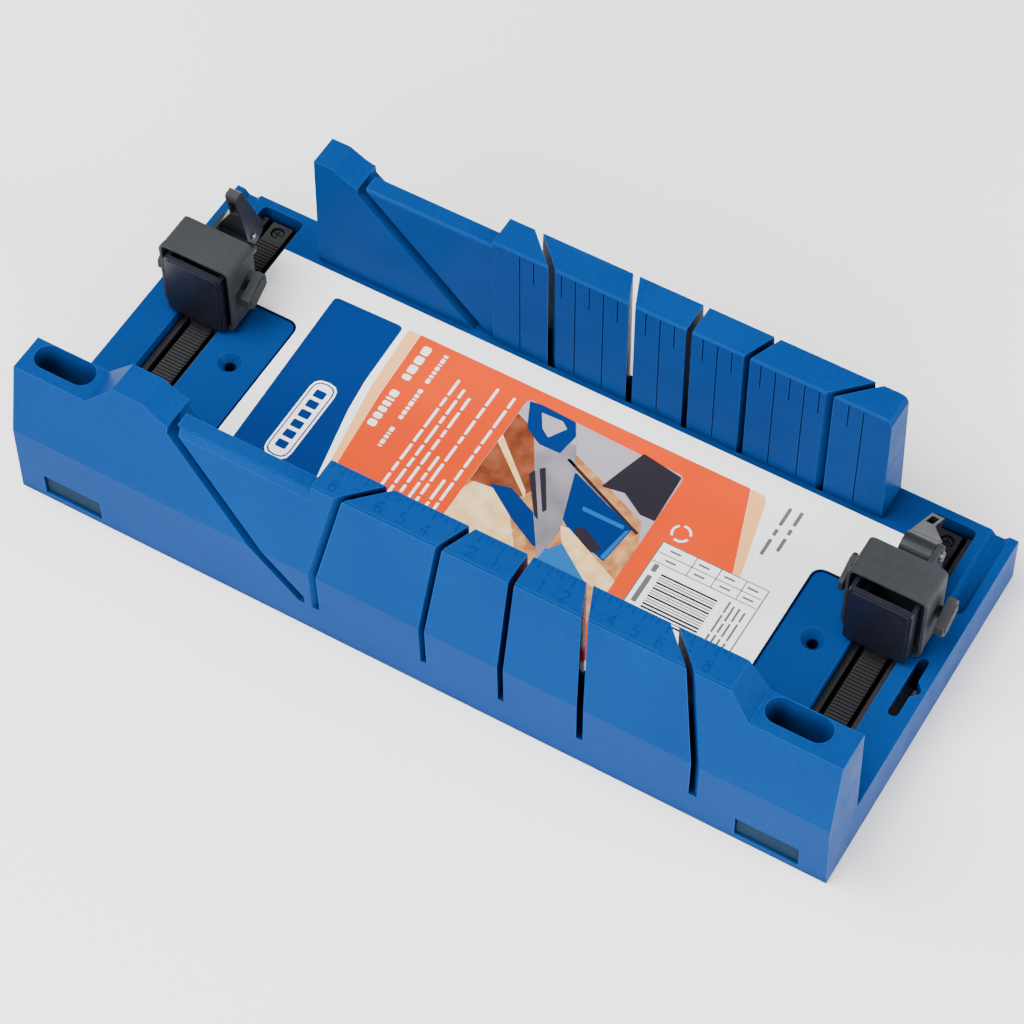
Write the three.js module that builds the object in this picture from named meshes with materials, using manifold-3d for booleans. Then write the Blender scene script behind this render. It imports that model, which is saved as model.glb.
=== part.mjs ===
// Clamping mitre box: a moulded saw guide with two sliding cam clamps.
// Millimetres, +X along the box, +Y from the front wall to the back wall, +Z up.
// The origin is on the floor under the middle of the box.
import * as THREE from "three";
import { mergeVertices, toCreasedNormals } from "three/addons/utils/BufferGeometryUtils.js";
import Module from "manifold-3d";

const wasm = await Module();
wasm.setup();

// ---- driving dimensions ------------------------------------------------------

const CLEAR = 0.3; // gap between neighbouring pieces
const CUT = 5; // how far a cutting solid runs past the surface it cuts

// base moulding
const LENGTH = 367;
const BASE_FRONT = -80.9;
const BASE_BACK = 81.5;
const BACK_LEAN = 0.8; // how far the back edge of the skirt leans in at the bottom
const FLOOR_Z = 22.8; // top of the tray and of the skirt
const PLATE = 3.2; // skin of the tray
const END_DRAFT = 2; // how much each end leans in by the top of the walls

// walls
const WALL_TOP = 85.4;
const HIGH_TOP = 85.7; // the tall corner beside the bevel slot
const WEDGE_TOP = 80.5;
const TAB_TOP = 72.9;
const FRONT_IN = -58.2;
const FRONT_OUT_TOP = -72.7;
const BREAK_Y = -81.5;
const BREAK_Z = 38.5;
const BACK_IN = 64;
const BACK_OUT_TOP = 78.3;
const BACK_HALF = 131.5;
const WALL_EDGE = 0.7; // chamfer along the inner top edge of the back wall
const REBATE = 0.8; // along the outer top edge of the front wall
const REBATE_DEEP = 0.6;
const BLOCK_START_FRONT = -45.3; // left end of the first block of each wall
const BLOCK_START_BACK = -46.8;
const BLOCK_END = 133.9; // top of the slope at the right end of the front wall
const SLOPE_FOOT_RIGHT = 143.2;
const SLOPE_TOP_LEFT = -135.5;
const SLOPE_FOOT_LEFT = -148;
const RISE_START = -107; // where the wedge's flat top ends
const RISE_END = -121.6;
const RISE = [[-111.3, 0], [-114.5, 1.1], [-118, 3.1]]; // x, and height over the wedge

// hollow under the tray
const HOLLOW_HALF = 142.5;
const HOLLOW_FRONT = -55;
const HOLLOW_BACK = 60;
const RIB_DEPTH = 4;
const RIB_HALF = 1.1;
const RIB_X = [-94, -47, 0, 47, 94];
const RIB_Y = [-17, 21];
const FIX_BOSS = 8;

// cores under the blocks of both walls
const CORE_SKIN = 3.2;
const CORE_ROOF = 4;

// saw slots: all five lines cross over one point
const CROSS_X = 42;
const CROSS_Y = 2.7;
const SLOT_WIDTH = 2.6;
const SLOT_BOTTOM = 16;
const SLOT_ANGLES = [-45, -22.5, 0, 22.5, 45];
const BEVEL_LOW = -33.5; // x + z along the lower side of the 45 degree bevel slot
const BEVEL_HIGH = -26.5;
const BEVEL_LEFT = -110; // the slot's mouth stands upright between these two
const BEVEL_RIGHT = -107;
const BEVEL_END = -47;
const BEVEL_END_BACK = -50.5;
const WEDGE_THICK = 8;
const WEDGE_SET_BACK = 1.4;
const WEDGE_STEP = 1.8; // rebate along the outer top edge of the front wedge
const WEDGE_STEP_DEEP = 2.2;

// inch lines on the back wall
const HALF_INCH = 12.7;
const LINE_DEPTH = 0.35;
const LINE_WIDTH = 0.6;
const SHORT_LINE = 15;
const LAST_LINE = 12; // quarter inches from the crossing point to the last line on each side

// clamp ways
const WAY_X = 157;
const WAY_HALF = 10;
const WAY_FRONT = -52;
const WAY_BACK = 77.6;
const WAY_FLOOR = 7.6;
const RACK_BASE = 8;
const RACK_TOP = 17.6;
const RACK_PLATE = 2.6;
const RACK_HALF = 9.6;
const STRIP_HALF = 4.8;
const RAIL_IN = 8;
const LIP_IN = 7.1;
const LIP_THICK = 2;
const TOOTH_PITCH = 1.6;
const TOOTH_DEPTH = 0.8;
const RACK_GAP = 1.5; // left at each end of a rack
const SCREW_INSET = 4.6;
const SCREW_SINK = 3; // how deep the screw heads are let into the strip

// clamp carriage, measured from the middle of its way and its own front face
const CLAMP_FRONT_LEFT = 13;
const CLAMP_FRONT_RIGHT = 11.5;
const CASE_HALF = 16.8;
const CASE_CORNER = 3;
const CASE_DEPTH = 18;
const CASE_BOTTOM = 23.9;
const CASE_TOP = 61;
const COLLAR = 2.6;
const COLLAR_OUT = 0.3;
const RIM = 1.3; // wall of the collar round the jaw
const JAW_HALF = 13.5;
const JAW_BOTTOM = 24.4;
const JAW_TOP = 57.4;
const JAW_SKIN = 2;
const JAW_DEPTH = 9;
const JAW_ROOM = 9.6; // depth of the recess in the case
const JAW_OUT_OPEN = 2.5; // how far the open jaw stands in front of the case
const JAW_STROKE = 3;
const PIVOT_Y = 31.3;
const PIVOT_Z = 47.8;
const HUB_RADIUS = 6;
const HUB_OFFSET = 1.77;
const LEVER_REACH = 33;
const LEVER_RAISED = 102; // degrees up from straight back
const LEVER_FOLDED = -34;
const LEVER_TIP_HALF = 2.3;
const LEVER_SILL = 20; // from the pivot to the near end of the lever's eye
const LEVER_OUT = -5.5; // outer side of the hub
const ARM_OUT = 2.1; // outer side of the arm
const LEVER_IN = 7.5;
const EAR_OUT = -8.1;
const EAR_IN = LEVER_OUT - CLEAR;
const EAR_ROUND = 4.4;
const PIN_RADIUS = 1.3;
const PLUNGER_RADIUS = 2.2;
const PLUNGER_X = 10.1;

// release buttons and pawl
const BUTTON_STROKE = 2.4;
const LIFT_RATIO = 0.6; // how far the pawl rises for each millimetre of button travel
const STEM_Z0 = 36.9;
const STEM_Z1 = 42;
const BUTTON_OUT = 6.5; // how far the thumb tab on a case's right side stands out
const BUTTON_OUT_LEFT = 4.4; // the same for the thinner tab on its left side
const TAB_OUTLINE = [[3, 40.2], [6.6, 36.6], [16.9, 42.8], [16.4, 48.4], [13.8, 50.6], [3.2, 44.6]];
const STEM_Y0 = 12.4;
const STEM_Y1 = 15;
const PAWL_HALF = 3.8;
const PAWL_Y0 = 11.8;
const PAWL_Y1 = 15.6;
const PAWL_SHOULDER = 39.1;
const PAWL_HEAD = 42.7;
const HEAD_HALF = 7.4;
const RAMP_IN = 5.9;
const RAMP_OUT = 9.5;
const SPRING_TOP = 56;

// bench stops
const STOP_X = 157.7;
const STOP_HALF = 13.6;
const STOP_Z0 = 3.4;
const STOP_Z1 = 14.8;
const STOP_FACE = 1.3; // how far the face sits behind the front of the box
const STOP_BACK = -61; // back of the well that holds the stop
const STRIP_SKIN = 1; // skin of the front face round the window

// finger pockets in the end tabs
const POCKET_X = 164.6;
const POCKET_RIGHT_X = 158.4;
const POCKET_Y = -64.4;
const POCKET_HALF = 13.6;
const POCKET_RADIUS = 5.9;
const POCKET_BOTTOM = 19;

// fixing holes and hanging hole
const FIX_X = 134.2;
const FIX_RIM = 5.2;
const FIX_HOLE = 2.3;
const FIX_SINK = 3.4; // depth of the countersink
const HANG_LEFT = 173.6;
const HANG_RIGHT = 178;
const HANG_FRONT = -15.9;
const HANG_BACK = 13.9;

// card
const CARD_Z = 22.95;
const CARD_THICK = 0.4;
const CARD_WIDE = 146.6;
const CARD_NARROW = 119.3;
const CARD_STEP = 31;
const CARD_BACK = 61.3;
const CARD_CORNER = 5;

// ---- geometry helpers ---------------------------------------------------------

const RAD = Math.PI / 180;

function solid(geometry) {
  const bare = geometry.clone();
  bare.deleteAttribute("normal");
  bare.deleteAttribute("uv");
  const merged = mergeVertices(bare, 1e-4);
  return new wasm.Manifold(new wasm.Mesh({
    numProp: 3,
    vertProperties: Float32Array.from(merged.attributes.position.array),
    triVerts: Uint32Array.from(merged.index.array),
  }));
}

// a mirrored mesh has its corners taken in the other order, so that its faces still point out
function meshFrom(body, name, material, isMirrored = false) {
  const data = body.getMesh();
  const corners = Uint32Array.from(data.triVerts);
  const geometry = new THREE.BufferGeometry();
  const points = Float32Array.from(data.vertProperties);
  geometry.setAttribute("position", new THREE.BufferAttribute(points, 3));
  if (isMirrored) {
    geometry.scale(-1, 1, 1);
    corners.reverse();
  }
  geometry.setIndex(new THREE.BufferAttribute(corners, 1));
  const shown = toCreasedNormals(geometry, 30 * RAD);
  const mesh = new THREE.Mesh(shown, material);
  mesh.name = name;
  return mesh;
}

function outline(points) {
  return new THREE.Shape(points.map(([u, v]) => new THREE.Vector2(u, v)));
}

function extruded(shape, depth, curveSegments) {
  return new THREE.ExtrudeGeometry(shape, { depth, bevelEnabled: false, curveSegments });
}

// a (y, z) outline carried along X
function alongX(points, x0, x1) {
  const geometry = extruded(outline(points), x1 - x0, 6);
  const turn = new THREE.Matrix4().makeBasis(
    new THREE.Vector3(0, 1, 0), new THREE.Vector3(0, 0, 1), new THREE.Vector3(1, 0, 0));
  geometry.applyMatrix4(turn).translate(x0, 0, 0);
  return solid(geometry);
}

// an (x, z) outline carried along Y
function alongY(points, y0, y1) {
  const geometry = extruded(outline(points), y1 - y0, 6);
  geometry.rotateX(Math.PI / 2).translate(0, y1, 0);
  return solid(geometry);
}

// an (x, y) outline carried along Z
function alongZ(points, z0, z1) {
  const geometry = extruded(outline(points), z1 - z0, 6);
  geometry.translate(0, 0, z0);
  return solid(geometry);
}

function box(x0, x1, y0, y1, z0, z1) {
  const geometry = new THREE.BoxGeometry(x1 - x0, y1 - y0, z1 - z0);
  geometry.translate((x0 + x1) / 2, (y0 + y1) / 2, (z0 + z1) / 2);
  return solid(geometry);
}

// a cylinder or cone along X, Y or Z, from a to b, with its radius at each end
function round(axis, a, b, radiusA, radiusB, p, q, segments = 24) {
  const geometry = new THREE.CylinderGeometry(radiusB, radiusA, b - a, segments);
  geometry.translate(0, (a + b) / 2, 0);
  if (axis === "x") {
    geometry.rotateZ(-Math.PI / 2).translate(0, p, q);
  } else if (axis === "z") {
    geometry.rotateX(Math.PI / 2).translate(p, q, 0);
  } else {
    geometry.translate(p, 0, q);
  }
  return solid(geometry);
}

// corners of a rectangle with each corner rounded
function roundedRect(u0, u1, v0, v1, radius, steps = 4) {
  const points = [];
  const centres = [
    [u1 - radius, v1 - radius, 0],
    [u0 + radius, v1 - radius, 90],
    [u0 + radius, v0 + radius, 180],
    [u1 - radius, v0 + radius, 270],
  ];
  for (const [cu, cv, start] of centres) {
    for (let i = 0; i <= steps; i += 1) {
      const angle = (start + (90 * i) / steps) * RAD;
      points.push([cu + radius * Math.cos(angle), cv + radius * Math.sin(angle)]);
    }
  }
  return points;
}

function joined(list) {
  return list.reduce((whole, piece) => whole.add(piece));
}

// ---- materials -----------------------------------------------------------------

function plastic(hex, roughness) {
  return new THREE.MeshStandardMaterial({ color: hex, roughness, metalness: 0 });
}

function steel(hex) {
  return new THREE.MeshStandardMaterial({ color: hex, roughness: 0.35, metalness: 0.9 });
}

const BLUE = 0x0b5fb0;
const DARK = 0x3a3d42;
const BLACK = 0x1c1d20;

// ---- the box moulding ------------------------------------------------------------

// outer face of the front wall at a height
function frontFaceY(z) {
  if (z <= BREAK_Z) {
    return BASE_FRONT + ((BREAK_Y - BASE_FRONT) * z) / BREAK_Z;
  }
  return BREAK_Y + ((FRONT_OUT_TOP - BREAK_Y) * (z - BREAK_Z)) / (WALL_TOP - BREAK_Z);
}

// solid that holds the drafted ends: everything outside it is cut away
function endDraft() {
  const half = LENGTH / 2;
  const slope = END_DRAFT / WALL_TOP;
  const top = WALL_TOP + CUT;
  const inset = slope * top;
  return alongY([[-half, 0], [half, 0], [half - inset, top], [-half + inset, top]],
    BASE_FRONT - CUT, BASE_BACK + CUT);
}

function baseSlab() {
  return alongX([
    [BASE_FRONT, 0], [BASE_BACK - BACK_LEAN, 0], [BASE_BACK, FLOOR_Z],
    [frontFaceY(FLOOR_Z), FLOOR_Z],
  ], -LENGTH / 2, LENGTH / 2);
}

// the hollow under the tray, with low ribs under its roof and a boss round each fixing hole
function underside() {
  const roof = FLOOR_Z - PLATE;
  const ribFoot = roof - RIB_DEPTH;
  const half = HOLLOW_HALF;
  const front = HOLLOW_FRONT - CUT;
  const back = HOLLOW_BACK + CUT;
  let hollow = alongZ(roundedRect(-half, half, HOLLOW_FRONT, HOLLOW_BACK, 4), -CUT, roof);
  for (const x of RIB_X) {
    hollow = hollow.subtract(box(x - RIB_HALF, x + RIB_HALF, front, back, ribFoot, roof + CUT));
  }
  for (const y of RIB_Y) {
    hollow = hollow.subtract(box(-half - CUT, half + CUT, y - RIB_HALF, y + RIB_HALF, ribFoot, roof + CUT));
  }
  for (const side of [-1, 1]) {
    hollow = hollow.subtract(round("z", -2 * CUT, roof + CUT, FIX_BOSS, FIX_BOSS, side * FIX_X, 0));
  }
  return hollow;
}

// the curve from the wedge's top up to the tall corner
function rise() {
  const curve = RISE.map(([x, height]) => [x, WEDGE_TOP + height]);
  return [[RISE_START, WEDGE_TOP], ...curve, [RISE_END, HIGH_TOP]];
}

// outline in (x, z) of the top of the front wall
function frontProfile() {
  const half = LENGTH / 2 + CUT;
  return [
    [-half, 0], [half, 0], [half, TAB_TOP], [SLOPE_FOOT_RIGHT, TAB_TOP], [BLOCK_END, WALL_TOP],
    [BLOCK_START_FRONT, WALL_TOP], [BLOCK_START_FRONT, WEDGE_TOP], ...rise(),
    [SLOPE_TOP_LEFT, HIGH_TOP], [SLOPE_FOOT_LEFT, TAB_TOP], [-half, TAB_TOP],
  ];
}

function frontWall() {
  const section = alongX([
    [BASE_FRONT, 0], [FRONT_IN, 0], [FRONT_IN, HIGH_TOP], [FRONT_OUT_TOP, HIGH_TOP],
    [FRONT_OUT_TOP, WALL_TOP], [BREAK_Y, BREAK_Z],
  ], -LENGTH / 2, LENGTH / 2);
  return section.intersect(alongY(frontProfile(), BREAK_Y - CUT, FRONT_IN + CUT));
}

// outline in (x, z) of the top of the back wall
function backProfile() {
  return [
    [-BACK_HALF, 0], [BACK_HALF, 0], [BACK_HALF - 1.2, WALL_TOP - 3],
    [BACK_HALF - 2.4, WALL_TOP - 0.7],
    [BACK_HALF - 4.4, WALL_TOP], [BLOCK_START_BACK, WALL_TOP], [BLOCK_START_BACK, WEDGE_TOP],
    ...rise(), [-BACK_HALF + 1.2, HIGH_TOP],
  ];
}

function backWall() {
  const section = alongX([
    [BACK_IN, 0], [BASE_BACK - BACK_LEAN, 0], [BASE_BACK, FLOOR_Z],
    [BACK_OUT_TOP, HIGH_TOP], [BACK_IN, HIGH_TOP],
  ], -BACK_HALF, BACK_HALF);
  return section.intersect(alongY(backProfile(), BACK_IN - CUT, BASE_BACK + CUT));
}

// one saw slot: a thin blade of air through both walls
function sawSlot(angle) {
  const reach = 130;
  const blades = [];
  for (const [y0, y1] of [[BREAK_Y - CUT, FRONT_IN], [BACK_IN, BASE_BACK + CUT]]) {
    const t = Math.tan(angle * RAD);
    const halfWidth = SLOT_WIDTH / 2 / Math.cos(angle * RAD);
    const x0 = CROSS_X + t * (y0 - CROSS_Y);
    const x1 = CROSS_X + t * (y1 - CROSS_Y);
    blades.push(alongZ([
      [x0 - halfWidth, y0], [x0 + halfWidth, y0], [x1 + halfWidth, y1], [x1 - halfWidth, y1],
    ], SLOT_BOTTOM, reach));
  }
  return joined(blades);
}

// the 45 degree bevel slot, cut across one wall from the high block to the floor
function bevelSlot(y0, y1, endX, floor) {
  const top = WALL_TOP + CUT;
  return alongY([
    [BEVEL_LOW - floor, floor], [endX, floor], [endX, BEVEL_HIGH - endX],
    [BEVEL_RIGHT, BEVEL_HIGH - BEVEL_RIGHT], [BEVEL_RIGHT, top],
    [BEVEL_LEFT, top], [BEVEL_LEFT, BEVEL_LOW - BEVEL_LEFT],
  ], y0, y1);
}

// what is cut from a wall to leave the thin wedge between the bevel slot and the first block
function wedgeThinning(isFront) {
  const endX = isFront ? BLOCK_START_FRONT : BLOCK_START_BACK;
  const floor = isFront ? SLOT_BOTTOM : FLOOR_Z;
  const above = WALL_TOP + CUT;
  const middle = (BEVEL_LOW + BEVEL_HIGH) / 2;
  const mouth = (BEVEL_LEFT + BEVEL_RIGHT) / 2;
  const region = [
    [middle - floor, floor], [endX, floor], [endX, above], [mouth, above], [mouth, middle - mouth],
  ];
  if (isFront) {
    const inner = alongY(region, FRONT_OUT_TOP + WEDGE_THICK, FRONT_IN);
    const ledge = WEDGE_TOP - WEDGE_STEP_DEEP;
    const back = FRONT_OUT_TOP + WEDGE_STEP;
    const step = alongX([
      [BREAK_Y - CUT, ledge], [frontFaceY(ledge) + 0.2, ledge], [back - 0.3, ledge + 1],
      [back, ledge + 1.4], [back, above], [BREAK_Y - CUT, above],
    ], mouth, endX);
    return inner.add(step);
  }
  const face = BACK_IN + WEDGE_SET_BACK;
  const outer = alongY(region, face + WEDGE_THICK, BASE_BACK + CUT);
  const softEdge = alongX([
    [BACK_IN - CUT, WEDGE_TOP - 1.2], [face - 0.01, WEDGE_TOP - 1.2], [face + 0.4, WEDGE_TOP - 0.4],
    [face + 1.2, WEDGE_TOP], [face + 1.2, above], [BACK_IN - CUT, above],
  ], mouth, endX);
  return joined([outer, alongY(region, BACK_IN - CUT, face), softEdge]);
}

// fine upright lines, one every quarter inch, the half inches cut full height
function inchLines() {
  const lines = [];
  for (let k = -LAST_LINE; k <= LAST_LINE; k += 1) {
    const x = CROSS_X + (k * HALF_INCH) / 2;
    const full = k % 2 === 0;
    const slots = SLOT_ANGLES.map((a) => CROSS_X + Math.tan(a * RAD) * (BACK_IN - CROSS_Y));
    if (slots.some((s) => Math.abs(s - x) < 3.4)) {
      continue;
    }
    const z0 = full ? FLOOR_Z + 2 : WALL_TOP - SHORT_LINE;
    lines.push(box(x - LINE_WIDTH / 2, x + LINE_WIDTH / 2, BACK_IN - CUT, BACK_IN + LINE_DEPTH,
      z0, WALL_TOP - 1.2));
  }
  return joined(lines);
}

// x of a slot's middle line at a y
function slotX(angle, y) {
  return CROSS_X + Math.tan(angle * RAD) * (y - CROSS_Y);
}

// hollow inside one block, between the slots at two angles, open at the bottom
function blockCore(section, leftAngle, rightAngle, y0, y1) {
  const half = SLOT_WIDTH / 2 + CORE_SKIN;
  const left = (y) => slotX(leftAngle, y) + half / Math.cos(leftAngle * RAD);
  const right = (y) => slotX(rightAngle, y) - half / Math.cos(rightAngle * RAD);
  const plan = alongZ([[left(y0), y0], [right(y0), y0], [right(y1), y1], [left(y1), y1]],
    -CUT, WALL_TOP);
  return section.intersect(plan);
}

function wallCores() {
  const roof = WALL_TOP - CORE_ROOF;
  const skin = CORE_SKIN;
  const half = LENGTH / 2;
  const frontSection = alongX([
    [BASE_FRONT + skin, -CUT], [FRONT_IN - skin, -CUT], [FRONT_IN - skin, roof],
    [frontFaceY(roof) + skin, roof], [BREAK_Y + skin, BREAK_Z],
  ], -half, half);
  const backSection = alongX([
    [BACK_IN + skin, -CUT], [BASE_BACK - BACK_LEAN - skin, -CUT], [BACK_OUT_TOP - skin, roof],
    [BACK_IN + skin, roof],
  ], -half, half);
  const cores = [];
  for (let i = 0; i < SLOT_ANGLES.length - 1; i += 1) {
    const a = SLOT_ANGLES[i];
    const b = SLOT_ANGLES[i + 1];
    cores.push(blockCore(frontSection, b, a, BREAK_Y, FRONT_IN));
    cores.push(blockCore(backSection, a, b, BACK_IN, BASE_BACK));
  }
  return joined(cores);
}

// rebate along the top of the front wall and chamfer along the top of the back wall
function topEdges() {
  const c = WALL_EDGE;
  const above = WALL_TOP + CUT;
  const front = box(BLOCK_START_FRONT, BLOCK_END, FRONT_OUT_TOP - CUT, FRONT_OUT_TOP + REBATE,
    WALL_TOP - REBATE_DEEP, above);
  const back = alongX([
    [BACK_IN - CUT, WALL_TOP - c - CUT], [BACK_IN, WALL_TOP - c], [BACK_IN + c, WALL_TOP],
    [BACK_IN + c, above], [BACK_IN - CUT, above],
  ], BLOCK_START_BACK, LENGTH / 2);
  return front.add(back);
}

// the walled pocket that carries one rack
function wayPocket(x) {
  const shape = roundedRect(x - WAY_HALF, x + WAY_HALF, WAY_FRONT, WAY_BACK, 2.4);
  return alongZ(shape, WAY_FLOOR, FLOOR_Z + CUT);
}

function fingerPocket(x) {
  const shape = roundedRect(x - POCKET_HALF, x + POCKET_HALF,
    POCKET_Y - POCKET_RADIUS, POCKET_Y + POCKET_RADIUS, POCKET_RADIUS - 0.05, 8);
  return alongZ(shape, POCKET_BOTTOM, TAB_TOP + CUT);
}

// guide for one bench stop: a window in the front face and a well open at the bottom
function stopGuide(x) {
  const half = STOP_HALF + CLEAR;
  const window = box(x - STOP_HALF, x + STOP_HALF, BREAK_Y - CUT, BASE_FRONT + STOP_FACE + 1,
    STOP_Z0, STOP_Z1);
  const well = box(x - half, x + half, BASE_FRONT + STRIP_SKIN, STOP_BACK, -CUT, STOP_Z1 + CLEAR);
  const shaft = box(x - POCKET_HALF + 3, x + POCKET_HALF - 3, POCKET_Y - 3.4, POCKET_Y + 3.2,
    STOP_Z1, POCKET_BOTTOM + CUT);
  return joined([window, well, shaft]);
}

// countersunk hole for a screw into the bench, relieved from below
function fixingHole(x) {
  return joined([
    round("z", -CUT, FLOOR_Z + CUT, FIX_HOLE, FIX_HOLE, x, 0),
    round("z", FLOOR_Z - FIX_SINK, FLOOR_Z + 0.01, FIX_HOLE, FIX_RIM, x, 0),
    round("z", FLOOR_Z, FLOOR_Z + CUT, FIX_RIM, FIX_RIM, x, 0),
    round("z", -CUT, FLOOR_Z - 9, FIX_RIM, FIX_RIM, x, 0),
  ]);
}

// slotted hanging hole with a rounded notch on its outer side
function hangingHole() {
  const shape = roundedRect(HANG_LEFT, HANG_RIGHT, HANG_FRONT, HANG_BACK, 2.1);
  const slot = alongZ(shape, -CUT, FLOOR_Z + CUT);
  const notch = alongZ([
    [177, -5.4], [178, -4.8], [179.6, -3.4], [180.9, -1.8], [180.9, -0.2], [179.6, 1.6],
    [178, 3], [177, 3.6],
  ], -CUT, FLOOR_Z + CUT);
  return slot.add(notch);
}

// trough beside each clamp way, open at the back edge
function trough(side) {
  const near = 42;
  const depth = 2.4;
  const x0 = 171.2;
  const x1 = 179.2;
  const bottom = 2.2;
  const section = [
    [side * x0, FLOOR_Z + CUT], [side * x0, FLOOR_Z], [side * (x0 + bottom), FLOOR_Z - depth],
    [side * (x1 - bottom), FLOOR_Z - depth], [side * x1, FLOOR_Z], [side * x1, FLOOR_Z + CUT],
  ];
  if (side > 0) {
    section.reverse();
  }
  const middle = (side * (x0 + x1)) / 2;
  const along = alongY(section.slice().reverse(), near, BASE_BACK + CUT);
  const end = round("z", FLOOR_Z - depth, FLOOR_Z, (x1 - x0) / 2 - bottom, (x1 - x0) / 2, middle, near, 20);
  return along.add(end);
}

function makeBoxBody() {
  let body = joined([baseSlab(), frontWall(), backWall()]);
  const cuts = [underside(), wallCores(), inchLines(), topEdges(), hangingHole(), trough(-1), trough(1)];
  for (const angle of SLOT_ANGLES) {
    cuts.push(sawSlot(angle));
  }
  cuts.push(bevelSlot(BREAK_Y - CUT, FRONT_IN, BEVEL_END, SLOT_BOTTOM));
  cuts.push(bevelSlot(BACK_IN, BASE_BACK + CUT, BEVEL_END_BACK, FLOOR_Z));
  cuts.push(wedgeThinning(true), wedgeThinning(false));
  for (const side of [-1, 1]) {
    cuts.push(wayPocket(side * WAY_X), fixingHole(side * FIX_X), stopGuide(side * STOP_X));
  }
  cuts.push(fingerPocket(-POCKET_X), fingerPocket(POCKET_RIGHT_X));
  for (const cut of cuts) {
    body = body.subtract(cut);
  }
  return body.intersect(endDraft());
}

// ---- racks ---------------------------------------------------------------------

// a channel with a toothed strip down its middle and a lipped rail on each side
function makeRack() {
  const y0 = WAY_FRONT + RACK_GAP;
  const y1 = WAY_BACK - RACK_GAP;
  const plateTop = RACK_BASE + RACK_PLATE;
  const rail = (s) => alongY([
    [s * RAIL_IN, plateTop - 0.5], [s * RACK_HALF, plateTop - 0.5], [s * RACK_HALF, RACK_TOP],
    [s * LIP_IN, RACK_TOP], [s * LIP_IN, RACK_TOP - LIP_THICK], [s * RAIL_IN, RACK_TOP - LIP_THICK],
  ], y0, y1);
  const parts = [
    box(-RACK_HALF, RACK_HALF, y0, y1, RACK_BASE, plateTop),
    box(-STRIP_HALF, STRIP_HALF, y0, y1, plateTop - 0.5, RACK_TOP - TOOTH_DEPTH),
    rail(-1),
    rail(1),
  ];
  const first = y0 + 2 * SCREW_INSET;
  const count = Math.floor((y1 - y0 - 4 * SCREW_INSET) / TOOTH_PITCH);
  for (let i = 0; i < count; i += 1) {
    const y = first + i * TOOTH_PITCH;
    const root = RACK_TOP - TOOTH_DEPTH - 0.4;
    parts.push(alongX([[y, root], [y + 1.2, root], [y + 0.8, RACK_TOP], [y + 0.4, RACK_TOP]],
      -STRIP_HALF + 0.4, STRIP_HALF - 0.4));
  }
  let rack = joined(parts);
  for (const y of [y0 + SCREW_INSET, y1 - SCREW_INSET]) {
    rack = rack.subtract(round("z", RACK_BASE - CUT, RACK_TOP + CUT, 1.7, 1.7, 0, y));
    rack = rack.subtract(round("z", RACK_TOP - TOOTH_DEPTH - SCREW_SINK, RACK_TOP + CUT, 3.1, 3.1, 0, y));
  }
  return rack;
}

// self-tapping pan screw that holds one end of a rack, with a cross recess
function makeRackScrew() {
  const headBottom = RACK_TOP - TOOTH_DEPTH - SCREW_SINK + CLEAR;
  const head = round("z", headBottom, headBottom + 1.9, 2.7, 2.3, 0, 0, 20);
  const shank = round("z", RACK_BASE + 0.6, headBottom + 0.5, 1.4, 1.4, 0, 0, 12);
  const cross = box(-1.6, 1.6, -0.35, 0.35, headBottom + 1.1, headBottom + CUT)
    .add(box(-0.35, 0.35, -1.6, 1.6, headBottom + 1.1, headBottom + CUT));
  return head.add(shank).subtract(cross);
}

// ---- clamps: built at x = 0 with the front face at y = 0, inner side at +X --------

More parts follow.
